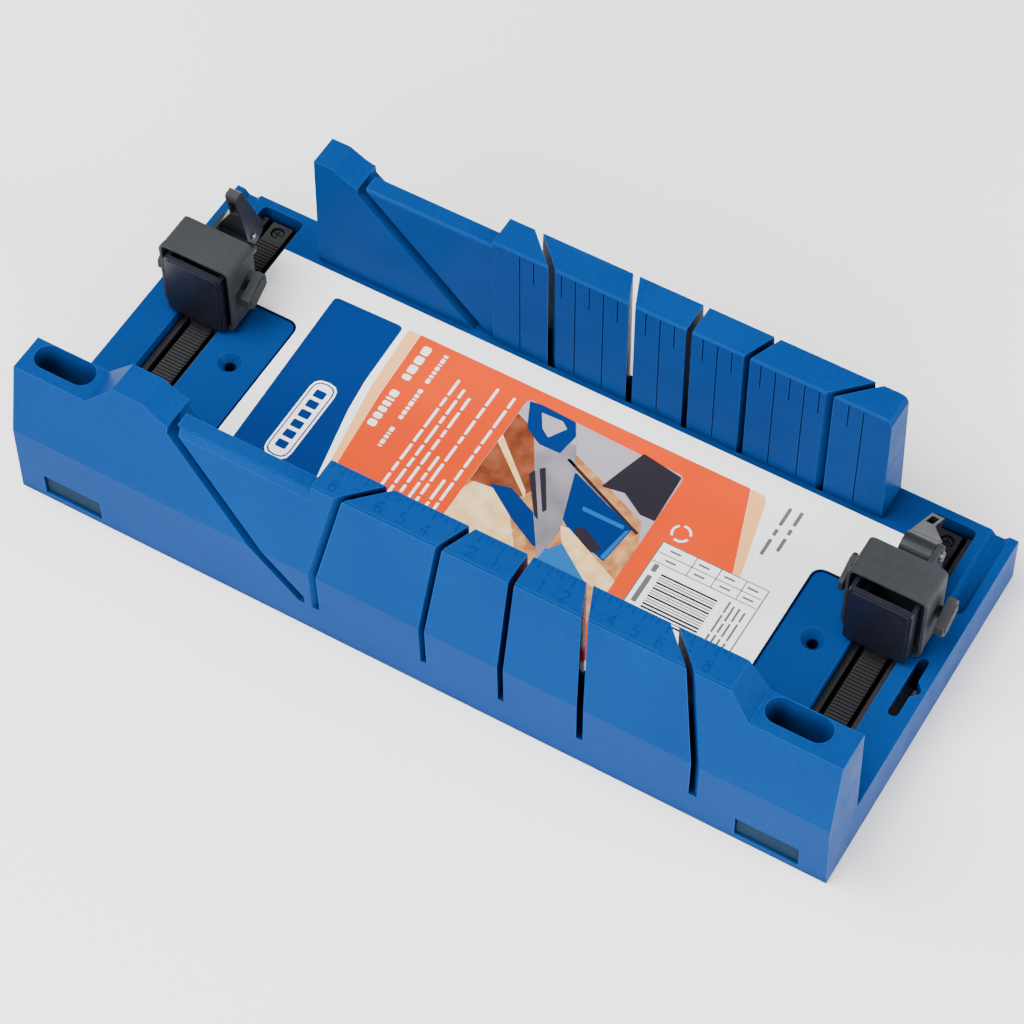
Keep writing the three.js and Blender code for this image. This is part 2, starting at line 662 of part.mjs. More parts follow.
function makeClampCase() {
  const shell = alongY(roundedRect(-CASE_HALF, CASE_HALF, CASE_BOTTOM, CASE_TOP, CASE_CORNER),
    0, CASE_DEPTH);
  const collar = alongY(roundedRect(-CASE_HALF - COLLAR_OUT, CASE_HALF + COLLAR_OUT,
    CASE_BOTTOM, CASE_TOP + COLLAR_OUT, CASE_CORNER + COLLAR_OUT), 0, COLLAR);
  const headTop = PAWL_HEAD + LIFT_RATIO * BUTTON_STROKE;
  const rodWay = PLUNGER_RADIUS + CLEAR;
  const pinWay = PIN_RADIUS + CLEAR;
  const roomHalf = CASE_HALF + COLLAR_OUT - RIM;
  const roomTop = CASE_TOP + COLLAR_OUT - RIM;
  const ear = alongX([
    [CASE_DEPTH - 1, CASE_BOTTOM], [PIVOT_Y + 2, CASE_BOTTOM], [PIVOT_Y + EAR_ROUND, PIVOT_Z - 3],
    [PIVOT_Y + EAR_ROUND, PIVOT_Z + 1.4], [PIVOT_Y + 2.6, PIVOT_Z + 3.8], [PIVOT_Y, PIVOT_Z + EAR_ROUND],
    [CASE_DEPTH - 1, PIVOT_Z + EAR_ROUND],
  ], EAR_OUT, EAR_IN);
  const keels = [];
  for (const s of [-1, 1]) {
    const neck = [s * (STRIP_HALF + 0.5), s * (LIP_IN - 0.4)].sort((a, b) => a - b);
    const foot = [s * (STRIP_HALF + 0.5), s * (RAIL_IN - 0.35)].sort((a, b) => a - b);
    keels.push(box(neck[0], neck[1], 1.5, CASE_DEPTH - 1.5, 12, CASE_BOTTOM + 1));
    keels.push(box(foot[0], foot[1], 1.5, CASE_DEPTH - 1.5, 12, 15.2));
  }
  const cuts = [
    // room for the jaw
    alongY(roundedRect(-roomHalf, roomHalf, JAW_BOTTOM + 1.3, roomTop, CASE_CORNER - 1), -CUT, JAW_ROOM),
    box(-JAW_HALF - 0.4, JAW_HALF + 0.4, -CUT, JAW_SKIN + CLEAR, CASE_BOTTOM - CUT, JAW_BOTTOM + 4),
    // pawl chamber, open below
    box(-PAWL_HALF - CLEAR, PAWL_HALF + CLEAR, PAWL_Y0 - CLEAR, PAWL_Y1 + CLEAR,
      0, SPRING_TOP + CLEAR),
    box(-HEAD_HALF - CLEAR, HEAD_HALF + CLEAR, PAWL_Y0 - CLEAR, PAWL_Y1 + CLEAR,
      STEM_Z0 - CLEAR, headTop + CLEAR),
    // button ways through both sides
    box(-CASE_HALF - CUT, CASE_HALF + CUT, STEM_Y0 - CLEAR, STEM_Y1 + CLEAR,
      STEM_Z0 - CLEAR, STEM_Z1 + CLEAR),
    // plunger way through the back
    round("y", 5, CASE_DEPTH + CUT, rodWay, rodWay, PLUNGER_X, PIVOT_Z),
    // pin way
    round("x", EAR_OUT - CUT, EAR_IN + CUT, pinWay, pinWay, PIVOT_Y, PIVOT_Z),
  ];
  let body = joined([shell, collar, ear, ...keels]);
  for (const cut of cuts) {
    body = body.subtract(cut);
  }
  return body;
}

// cup-shaped jaw with a plunger whose cross piece reaches the cam; its face is at y = 0
function makeJaw() {
  const face = alongY(roundedRect(-JAW_HALF, JAW_HALF, JAW_BOTTOM, JAW_TOP, 1.8), 0, JAW_SKIN);
  const bulge = alongY(roundedRect(-JAW_HALF + 1.2, JAW_HALF - 1.2, JAW_BOTTOM + 1.2, JAW_TOP - 1.2, 1.4),
    -0.5, JAW_SKIN);
  const sides = [-JAW_HALF, JAW_HALF - 1.6].map((x) => box(x, x + 1.6, 1, JAW_DEPTH,
    JAW_BOTTOM + 2.4, JAW_TOP - 1.2));
  const hubFront = PIVOT_Y + HUB_OFFSET - HUB_RADIUS;
  const rodEnd = hubFront + JAW_OUT_OPEN - CLEAR;
  const rod = round("y", 1, rodEnd, PLUNGER_RADIUS, PLUNGER_RADIUS, PLUNGER_X, PIVOT_Z, 20);
  const cross = box(ARM_OUT, PLUNGER_X + 1.9, rodEnd - 3, rodEnd, PIVOT_Z - 2, PIVOT_Z + 1.6);
  return joined([face, bulge, ...sides, rod, cross]);
}

// lever standing straight up from its pivot, which is at the middle of the axes; its arm runs along
// the inner side and widens towards the hub, an eccentric that works the jaw
function makeLever() {
  const turn = (LEVER_RAISED - 90) * RAD;
  const hubY = HUB_OFFSET * Math.cos(turn);
  const hubZ = -HUB_OFFSET * Math.sin(turn);
  const tip = LEVER_TIP_HALF;
  const front = hubY - HUB_RADIUS + 1;
  const blade = alongX([
    [front, 0], [hubY + HUB_RADIUS - 0.05, hubZ], [tip, LEVER_REACH - 1], [tip - 0.8, LEVER_REACH],
    [0.8 - tip, LEVER_REACH], [-tip, LEVER_REACH - 1], [front, 5],
  ], LEVER_OUT, LEVER_IN);
  const sill = LEVER_SILL - 0.8;
  const plan = alongY([
    [LEVER_OUT, -CUT], [LEVER_IN + CUT, -CUT], [LEVER_IN + CUT, LEVER_REACH + CUT],
    [ARM_OUT, LEVER_REACH + CUT], [ARM_OUT, sill], [LEVER_OUT, HUB_RADIUS],
  ], -2 * HUB_RADIUS, 2 * HUB_RADIUS);
  const hub = round("x", LEVER_OUT, LEVER_IN, HUB_RADIUS, HUB_RADIUS, hubY, hubZ, 32);
  const eye = box(ARM_OUT + 1.1, LEVER_IN - 1.1, -CUT, CUT, LEVER_SILL, LEVER_REACH - 4);
  const bore = round("x", LEVER_OUT - CUT, LEVER_IN + CUT, PIN_RADIUS + CLEAR, PIN_RADIUS + CLEAR, 0, 0);
  return blade.intersect(plan).add(hub).subtract(eye).subtract(bore);
}

// pin through the ear and the lever, with a low head on its outer end
function makeLeverPin() {
  const shank = round("x", EAR_OUT - CLEAR - 0.5, LEVER_IN + 0.5, PIN_RADIUS, PIN_RADIUS,
    PIVOT_Y, PIVOT_Z, 20);
  const nose = round("x", LEVER_IN + 0.4, LEVER_IN + 0.9, PIN_RADIUS, PIN_RADIUS - 0.5,
    PIVOT_Y, PIVOT_Z, 20);
  const outer = round("x", EAR_OUT - CLEAR - 1, EAR_OUT - CLEAR, 2, 2.5, PIVOT_Y, PIVOT_Z, 20);
  return joined([shank, nose, outer]);
}

// squeeze button on the +X side: a slanted thumb tab, a stem and a ramp that lifts the pawl
function makeButton(standOut) {
  const x0 = CASE_HALF + CLEAR + BUTTON_STROKE;
  const x1 = CASE_HALF + standOut;
  const tab = alongX(TAB_OUTLINE, x0, x1);
  const pad = alongX(TAB_OUTLINE.map(([y, z]) => [10 + (y - 10) * 0.8, 43.8 + (z - 43.8) * 0.74]),
    x1 - 0.1, x1 + 0.5);
  const stem = box(RAMP_OUT - 0.2, x0 + 1, STEM_Y0, STEM_Y1, STEM_Z0, STEM_Z1);
  const slopeZ = (x) => PAWL_SHOULDER + LIFT_RATIO * (x - PAWL_HALF) - CLEAR;
  const ramp = alongY([
    [RAMP_IN, STEM_Z0], [RAMP_OUT, STEM_Z0], [RAMP_OUT, slopeZ(RAMP_OUT)], [RAMP_IN, slopeZ(RAMP_IN)],
  ], STEM_Y0, STEM_Y1);
  return joined([tab, pad, stem, ramp]);
}

// toothed pawl; the sloped underside of its head rides on the button ramps
function makePawl() {
  const shaft = box(-PAWL_HALF + 0.6, PAWL_HALF - 0.6, PAWL_Y0, PAWL_Y1, RACK_TOP + 1.4, PAWL_HEAD);
  const rim = PAWL_SHOULDER + LIFT_RATIO * (HEAD_HALF - PAWL_HALF);
  const head = alongY([
    [-PAWL_HALF, PAWL_SHOULDER], [PAWL_HALF, PAWL_SHOULDER], [HEAD_HALF, rim],
    [HEAD_HALF, PAWL_HEAD], [-HEAD_HALF, PAWL_HEAD], [-HEAD_HALF, rim],
  ], PAWL_Y0, PAWL_Y1);
  const spigot = round("z", PAWL_HEAD - 0.5, PAWL_HEAD + 2, 0.8, 0.8, 0, (PAWL_Y0 + PAWL_Y1) / 2, 12);
  const teeth = [];
  for (let i = 0; i < 2; i += 1) {
    const y = PAWL_Y0 + 0.5 + i * 1.6;
    teeth.push(alongX([
      [y - 0.4, RACK_TOP + 1.5], [y + 0.5, RACK_TOP + CLEAR], [y + 1.2, RACK_TOP + 1.5],
    ], -PAWL_HALF + 0.6, PAWL_HALF - 0.6));
  }
  return joined([shaft, head, spigot, ...teeth]);
}

class Helix extends THREE.Curve {
  constructor(radius, z0, z1, turns, y) {
    super();
    Object.assign(this, { radius, z0, z1, turns, y });
  }

  getPoint(t) {
    const angle = t * this.turns * 2 * Math.PI;
    const x = this.radius * Math.cos(angle);
    const y = this.y + this.radius * Math.sin(angle);
    return new THREE.Vector3(x, y, this.z0 + (this.z1 - this.z0) * t);
  }
}

function makePawlSpring() {
  const wire = new THREE.Shape();
  wire.absarc(0, 0, 0.28, 0, 2 * Math.PI, false);
  const z0 = PAWL_HEAD + 0.45;
  const path = new Helix(1.35, z0, SPRING_TOP - 0.35, 6, (PAWL_Y0 + PAWL_Y1) / 2);
  return solid(new THREE.ExtrudeGeometry(wire, {
    steps: 72, extrudePath: path, curveSegments: 3, bevelEnabled: false,
  }));
}

// ---- bench stops and card ----------------------------------------------------------

// L-shaped stop: a face plate in the window and a webbed shelf under the finger pocket
function makeBenchStop() {
  const face = BASE_FRONT + STOP_FACE;
  const half = STOP_HALF;
  const back = STOP_BACK - CLEAR;
  const plate = box(-half, half, face, face + 3.4, 0.6, STOP_Z1);
  const shelf = box(-half, half, face + 3, back, STOP_Z1 - 3, STOP_Z1);
  const webs = [-half + 1, half - 2.6].map((x) => box(x, x + 1.6, face + 3, back - 3, 6, STOP_Z1 - 2));
  return joined([plate, shelf, ...webs]);
}

// card laid on the tray, cut away at its front corners
function makeCard() {
  const front = FRONT_IN + 1.2;
  const points = [[-CARD_NARROW, front], [CARD_NARROW, front]];
  const arc = (cx, cy, r, a0, a1) => {
    for (let i = 0; i <= 5; i += 1) {
      const a = (a0 + ((a1 - a0) * i) / 5) * RAD;
      points.push([cx + r * Math.cos(a), cy + r * Math.sin(a)]);
    }
  };
  arc(CARD_NARROW + CARD_CORNER, CARD_STEP - CARD_CORNER, CARD_CORNER, 180, 90);
  points.push([CARD_WIDE, CARD_STEP], [CARD_WIDE, CARD_BACK]);
  points.push([-CARD_WIDE, CARD_BACK], [-CARD_WIDE, CARD_STEP]);
  arc(-CARD_NARROW - CARD_CORNER, CARD_STEP - CARD_CORNER, CARD_CORNER, 90, 0);
  return alongZ(points, CARD_Z, CARD_Z + CARD_THICK);
}

// ---- assembly -----------------------------------------------------------------------

const DARK_PLASTIC = plastic(DARK, 0.5);

function addPiece(parent, name, body, material, isMirrored = false) {
  const mesh = meshFrom(body, name, material.clone(), isMirrored);
  parent.add(mesh);
  return mesh;
}

// the way of one side: its rack and the two screws that hold it
function addWay(parent, side, x) {
  addPiece(parent, `rack_${side}`, makeRack(), plastic(BLACK, 0.7)).position.x = x;
  const ends = { front: WAY_FRONT + RACK_GAP + SCREW_INSET, back: WAY_BACK - RACK_GAP - SCREW_INSET };
  for (const [end, y] of Object.entries(ends)) {
    const screw = addPiece(parent, `rack_screw_${side}_${end}`, makeRackScrew(), steel(0x8c8f94));
    screw.position.set(x, y, 0);
  }
}

// the left clamp stands open with its lever up, the right one is closed with its lever down
function addClamp(parent, side) {
  const isLeft = side === "left";
  const clamp = new THREE.Group();
  clamp.position.x = isLeft ? -WAY_X : WAY_X;
  clamp.position.y = isLeft ? CLAMP_FRONT_LEFT : CLAMP_FRONT_RIGHT;
  parent.add(clamp);
  addPiece(clamp, `clamp_case_${side}`, makeClampCase(), DARK_PLASTIC, !isLeft);
  const jaw = addPiece(clamp, `clamp_jaw_${side}`, makeJaw(), plastic(BLACK, 0.45), !isLeft);
  jaw.position.y = isLeft ? -JAW_OUT_OPEN : -JAW_OUT_OPEN - JAW_STROKE;
  const lever = addPiece(clamp, `clamp_lever_${side}`, makeLever(), DARK_PLASTIC, !isLeft);
  lever.position.set(0, PIVOT_Y, PIVOT_Z);
  lever.rotation.x = ((isLeft ? LEVER_RAISED : LEVER_FOLDED) - 90) * RAD;
  addPiece(clamp, `lever_pin_${side}`, makeLeverPin(), steel(0x9a9da2), !isLeft);
  const buttonSides = [["inner", !isLeft], ["outer", isLeft]];
  for (const [place, isOnLeft] of buttonSides) {
    const button = makeButton(isOnLeft ? BUTTON_OUT_LEFT : BUTTON_OUT);
    addPiece(clamp, `release_button_${side}_${place}`, button, DARK_PLASTIC, isOnLeft);
  }
  addPiece(clamp, `rack_pawl_${side}`, makePawl(), plastic(BLACK, 0.6), !isLeft);
  addPiece(clamp, `pawl_spring_${side}`, makePawlSpring(), steel(0xb0b2b6), !isLeft);
}

const group = new THREE.Group();
group.name = "clamping_mitre_box";
addPiece(group, "box_body", makeBoxBody(), plastic(BLUE, 0.42));
addPiece(group, "label_card", makeCard(), plastic(0xf4f3ef, 0.6));
addWay(group, "left", -WAY_X);
addWay(group, "right", WAY_X);
addClamp(group, "left");
addClamp(group, "right");
addPiece(group, "bench_stop_left", makeBenchStop(), plastic(BLACK, 0.6)).position.x = -STOP_X;
addPiece(group, "bench_stop_right", makeBenchStop(), plastic(BLACK, 0.6)).position.x = STOP_X;

export default group;
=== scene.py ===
"""Looks of the clamping mitre box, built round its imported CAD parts."""
import math
import bpy
import bmesh
from mathutils import Matrix, Vector


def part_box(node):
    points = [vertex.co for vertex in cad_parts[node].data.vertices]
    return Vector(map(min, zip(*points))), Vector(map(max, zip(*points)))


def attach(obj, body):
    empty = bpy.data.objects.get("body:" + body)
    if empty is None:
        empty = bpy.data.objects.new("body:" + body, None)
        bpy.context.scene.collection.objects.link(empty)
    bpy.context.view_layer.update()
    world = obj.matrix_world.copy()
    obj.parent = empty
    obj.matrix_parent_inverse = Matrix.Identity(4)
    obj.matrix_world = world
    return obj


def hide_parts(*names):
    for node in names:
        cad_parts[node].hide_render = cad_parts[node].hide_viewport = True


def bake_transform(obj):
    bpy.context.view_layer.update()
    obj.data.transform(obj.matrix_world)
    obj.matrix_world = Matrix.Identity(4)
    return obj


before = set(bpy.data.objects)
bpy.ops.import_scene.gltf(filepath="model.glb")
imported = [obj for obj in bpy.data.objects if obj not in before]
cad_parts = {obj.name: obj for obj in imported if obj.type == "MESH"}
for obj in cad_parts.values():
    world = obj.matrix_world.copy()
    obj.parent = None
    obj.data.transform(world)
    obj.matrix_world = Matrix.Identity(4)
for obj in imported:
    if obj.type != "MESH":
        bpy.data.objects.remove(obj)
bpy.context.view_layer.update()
MM = 0.001  # shapes are given in millimetres, the rest in metres
SIDES = ("left", "right")


def link_object(name, data):
    """Puts a mesh, lamp or camera into the scene as an object."""
    made = bpy.data.objects.new(name, data)
    bpy.context.scene.collection.objects.link(made)
    return made


# ---- camera and light ---------------------------------------------------------------

CAMERA_AZIMUTH = 30.67
CAMERA_ELEVATION = 54.75
CAMERA_ROLL = -0.37
CAMERA_DISTANCE = 1.3998
CAMERA_TARGET = (-0.0033, 0.0047, 0.0041)
CAMERA_LENS = 122.24
CAMERA_SENSOR = 36
CAMERA_REACH = (0.05, 50)

SKY_COLOUR = (0.97, 0.98, 1, 1)
SKY_STRENGTH = 0.35
LAMPS = [  # name, place, target, size, watts
    ("key", (-0.7, -0.5, 1.7), (0, 0, 0), (1.6, 1.6), 90),
    ("front_fill", (0.3, -1.6, 0.9), (0, 0, 0.03), (1.8, 1.0), 52),
    ("side_fill", (1.7, 0.1, 0.6), (0, 0, 0.03), (0.9, 0.9), 40),
]
FLOOR_HALF = 6
FLOOR_DROP = 0.0004  # keeps the floor clear of the underside of the box


def make_camera():
    azimuth, elevation = math.radians(CAMERA_AZIMUTH), math.radians(CAMERA_ELEVATION)
    back = Vector((math.sin(azimuth) * math.cos(elevation),
                   -math.cos(azimuth) * math.cos(elevation), math.sin(elevation)))
    data = bpy.data.cameras.new("camera")
    data.lens = CAMERA_LENS
    data.sensor_width = CAMERA_SENSOR
    data.clip_start, data.clip_end = CAMERA_REACH
    camera = link_object("camera", data)
    turn = (-back).to_track_quat("-Z", "Y").to_matrix().to_4x4()
    roll = Matrix.Rotation(math.radians(CAMERA_ROLL), 4, "Z")
    place = Matrix.Translation(Vector(CAMERA_TARGET) + back * CAMERA_DISTANCE)
    camera.matrix_world = place @ turn @ roll
    bpy.context.scene.camera = camera


def area_light(name, place, target, size, watts):
    data = bpy.data.lights.new(name, "AREA")
    data.shape = "RECTANGLE"
    data.size, data.size_y = size
    data.energy = watts
    light = link_object(name, data)
    light.location = place
    light.rotation_mode = "QUATERNION"
    light.rotation_quaternion = (Vector(target) - Vector(place)).to_track_quat("-Z", "Y")


def make_studio():
    world = bpy.data.worlds.new("studio")
    world.use_nodes = True
    sky = world.node_tree.nodes["Background"].inputs
    sky["Color"].default_value = SKY_COLOUR
    sky["Strength"].default_value = SKY_STRENGTH
    bpy.context.scene.world = world
    for lamp in LAMPS:
        area_light(*lamp)
    mesh = bpy.data.meshes.new("floor")
    form = bmesh.new()
    bmesh.ops.create_grid(form, x_segments=2, y_segments=2, size=FLOOR_HALF)
    form.to_mesh(mesh)
    form.free()
    floor = link_object("floor", mesh)
    floor.location.z = -FLOOR_DROP
    floor.data.materials.append(make_floor_material())


# ---- materials ------------------------------------------------------------------------

# painted highlights: the edges of moulded parts turn lighter
EDGE_SAMPLES = 4
EDGE_REACH = 0.0005
EDGE_MATCH = (0.99, 0.85)  # how alike the plain and the rounded normal are, flat to sharp
# painted shade: narrow slots and corners of the body turn dark
CREVICE_SAMPLES = 4
CREVICE_REACH = 0.009
CREVICE_OPENNESS = (0.18, 0.6)  # fully dark to fully open

DRIFT_SCALE = 18  # slow change of a plastic's colour
DRIFT_STOPS = (0.3, 0.72)  # where a noise is fully dark and fully light
SPECK_SHARE = 0.35  # scale of the specks over that of the mould grain
SPECK_TINT = 0.1
SMUDGE_SCALE = 60  # patches of more and less gloss
SMUDGE_SHARES = (0.82, 1.2)  # lowest and highest roughness over the given one
SINK_SCALE = 9  # slow waves of a moulded face
SINK_DEPTH = 0.0006
SINK_STRENGTH = 0.12
GRAIN_STRENGTH = 0.35
STREAK_SCALE = 300
STREAK_STRETCH = (1, 6, 6)
STREAK_STOPS = (0.3, 0.7)
STREAK_DARK = 0.7  # darkest colour of the steel over the given one
STREAK_SHARES = (0.7, 1.4)
STREAK_DEPTH = 0.00005
STREAK_STRENGTH = 0.25
PAPER_SHINE = 0.06
PAPER_STOPS = (0.35, 0.68)
PAPER_SMUDGE_SCALE = 240
PAPER_ROUGHNESS = (0.34, 0.5)
TOOTH_SCALE = 1400  # fibres of the card
TOOTH_DEPTH = 0.00004
TOOTH_STRENGTH = 0.12
INK_GAIN = 1.06  # lighter tone of an ink that names none
INK_LIFT = 0.004
FLOOR_SCALE = 1.5
FLOOR_STOPS = (0.3, 0.7)
FLOOR_TONES = ((0.93, 0.93, 0.935), (0.96, 0.96, 0.96))
FLOOR_SMUDGE_SCALE = 30
FLOOR_ROUGHNESS = (0.55, 0.65)


class Look:
    """A material whose nodes are built one by one."""

    def __init__(self, name):
        self.material = bpy.data.materials.new(name)
        self.material.use_nodes = True
        self.tree = self.material.node_tree
        self.shader = self.tree.nodes["Principled BSDF"]
        self.place = self.node("ShaderNodeTexCoord").outputs["Object"]

    def node(self, kind, **values):
        made = self.tree.nodes.new(kind)
        for key, value in values.items():
            setattr(made, key, value)
        return made

    def link(self, output, socket):
        self.tree.links.new(output, socket)

    def drive(self, socket, output):
        """Links an output to one of the shader's sockets."""
        self.link(output, self.shader.inputs[socket])

    def hold(self, socket, value):
        """Sets one of the shader's sockets to a single value."""
        self.shader.inputs[socket].default_value = value

    def noise(self, scale, detail=3.0, roughness=0.55, stretch=None):
        texture = self.node("ShaderNodeTexNoise")
        texture.inputs["Scale"].default_value = scale
        texture.inputs["Detail"].default_value = detail
        texture.inputs["Roughness"].default_value = roughness
        source = self.place
        if stretch:
            mapping = self.node("ShaderNodeMapping")
            mapping.inputs["Scale"].default_value = stretch
            self.link(self.place, mapping.inputs["Vector"])
            source = mapping.outputs["Vector"]
        self.link(source, texture.inputs["Vector"])
        return texture.outputs["Fac"]

    def ramp(self, source, stops, dark, light):
        """Runs from the dark colour at the first stop to the light one at the second."""
        ramp = self.node("ShaderNodeValToRGB")
        for element, position, colour in zip(ramp.color_ramp.elements, stops, (dark, light)):
            element.position = position
            element.color = (*colour, 1)
        self.link(source, ramp.inputs["Fac"])
        return ramp.outputs["Color"]

    def spread(self, source, low, high, start=0.3, end=0.7):
        """Turns the part of a value from start to end into low to high."""
        spread = self.node("ShaderNodeMapRange")
        limits = {"From Min": start, "From Max": end, "To Min": low, "To Max": high}
        for key, value in limits.items():
            spread.inputs[key].default_value = value
        self.link(source, spread.inputs["Value"])
        return spread.outputs["Result"]

    def mix(self, factor, a, b):
        """Mixes two colours, each given as a tuple or an output."""
        mix = self.node("ShaderNodeMix", data_type="RGBA")
        self.link(factor, mix.inputs["Factor"])
        for key, value in (("A", a), ("B", b)):
            socket = next(s for s in mix.inputs if s.name == key and s.type == "RGBA")
            if isinstance(value, tuple):
                socket.default_value = (*value, 1)
            else:
                self.link(value, socket)
        return next(s for s in mix.outputs if s.type == "RGBA")

    def bump(self, heights):
        """Chains bumps, each given as (height output, strength, distance in metres)."""
        normal = None
        for height, strength, distance in heights:
            bump = self.node("ShaderNodeBump")
            bump.inputs["Strength"].default_value = strength
            bump.inputs["Distance"].default_value = distance
            self.link(height, bump.inputs["Height"])
            if normal is not None:
                self.link(normal, bump.inputs["Normal"])
            normal = bump.outputs["Normal"]
        self.drive("Normal", normal)

    def edges(self):
        """Mask of the painted edge highlights: 0 on flat faces, towards 1 within a fraction of a
        millimetre of an edge.
        """
        rounded = self.node("ShaderNodeBevel", samples=EDGE_SAMPLES)
        rounded.inputs["Radius"].default_value = EDGE_REACH
        match = self.node("ShaderNodeVectorMath", operation="DOT_PRODUCT")
        self.link(rounded.outputs["Normal"], match.inputs[0])
        self.link(self.node("ShaderNodeNewGeometry").outputs["Normal"], match.inputs[1])
        return self.spread(match.outputs["Value"], 0, 1, *EDGE_MATCH)

    def crevice_shade_mask(self):
        """Mask of the painted shade: 0 deep in narrow slots, towards 1 on open faces."""
        shade = self.node("ShaderNodeAmbientOcclusion", samples=CREVICE_SAMPLES)
        shade.inputs["Distance"].default_value = CREVICE_REACH
        return self.spread(shade.outputs["AO"], 0, 1, *CREVICE_OPENNESS)


# edge is the colour of the painted edge highlights and the tint of the specks
def moulded(name, colour, light, edge, rough, grain, depth, shine=0.12, crevice_shade=None, edge_highlight=0.35):
    """Moulded plastic: slow colour drift, mould grain, painted edge highlights, and painted shade
    in crevices if asked.

    grain is the scale of the mould grain, depth its height in metres, and edge_highlight how far
    an edge turns to the edge colour as a painted highlight.
    """
    look = Look(name)
    drift = look.ramp(look.noise(DRIFT_SCALE, 2), DRIFT_STOPS, colour, light)
    speck = look.noise(grain * SPECK_SHARE, 4, 0.7)
    tinted = look.mix(look.spread(speck, 0, SPECK_TINT), drift, edge)
    # painted highlight: the edges turn towards the edge colour
    painted_light = look.mix(look.spread(look.edges(), 0, edge_highlight, 0, 1), tinted, edge)
    # painted shade: deep in narrow slots the colour turns to the shade colour
    if crevice_shade:
        painted_light = look.mix(look.crevice_shade_mask(), crevice_shade, painted_light)
    look.drive("Base Color", painted_light)
    smudges = look.noise(SMUDGE_SCALE, 5, 0.65)
    look.drive("Roughness", look.spread(smudges, *(rough * share for share in SMUDGE_SHARES)))
    look.hold("Specular IOR Level", shine)
    look.bump([(look.noise(grain, 2, 0.5), GRAIN_STRENGTH, depth),
               (look.noise(SINK_SCALE, 1), SINK_STRENGTH, SINK_DEPTH)])
    return look.material


def turned_steel(name, colour, rough):
    """Metal with fine streaks of colour, gloss and height."""
    look = Look(name)
    streaks = look.noise(STREAK_SCALE, 4, 0.6, STREAK_STRETCH)
    dark = tuple(c * STREAK_DARK for c in colour)
    look.drive("Base Color", look.ramp(streaks, STREAK_STOPS, dark, colour))
    look.drive("Roughness", look.spread(streaks, *(rough * share for share in STREAK_SHARES)))
    look.hold("Metallic", 1)
    look.bump([(streaks, STREAK_STRENGTH, STREAK_DEPTH)])
    return look.material


def printed(name, colour, light=None, drift_scale=9):
    """Ink on card: even colour with a faint drift and fine paper tooth."""
    look = Look(name)
    light = light or tuple(min(1, c * INK_GAIN + INK_LIFT) for c in colour)
    look.drive("Base Color", look.ramp(look.noise(drift_scale, 2), PAPER_STOPS, colour, light))
    look.drive("Roughness", look.spread(look.noise(PAPER_SMUDGE_SCALE, 4), *PAPER_ROUGHNESS))
    look.hold("Specular IOR Level", PAPER_SHINE)
    look.bump([(look.noise(TOOTH_SCALE, 3), TOOTH_STRENGTH, TOOTH_DEPTH)])
    return look.material


def make_floor_material():
    look = Look("pale_floor")
    look.drive("Base Color", look.ramp(look.noise(FLOOR_SCALE, 2), FLOOR_STOPS, *FLOOR_TONES))
    look.drive("Roughness", look.spread(look.noise(FLOOR_SMUDGE_SCALE, 3), *FLOOR_ROUGHNESS))
    return look.material


BLUE = (0.0001, 0.027, 0.134)
BLUE_LIGHT = (0.0002, 0.032, 0.152)
# colour of the specks and of the painted edge highlights
BLUE_SPECK_AND_HIGHLIGHT = (0.01, 0.08, 0.3)
# colour of the painted shade in the crevices of the body
CREVICE_SHADE_NAVY = (0.0002, 0.001, 0.016)
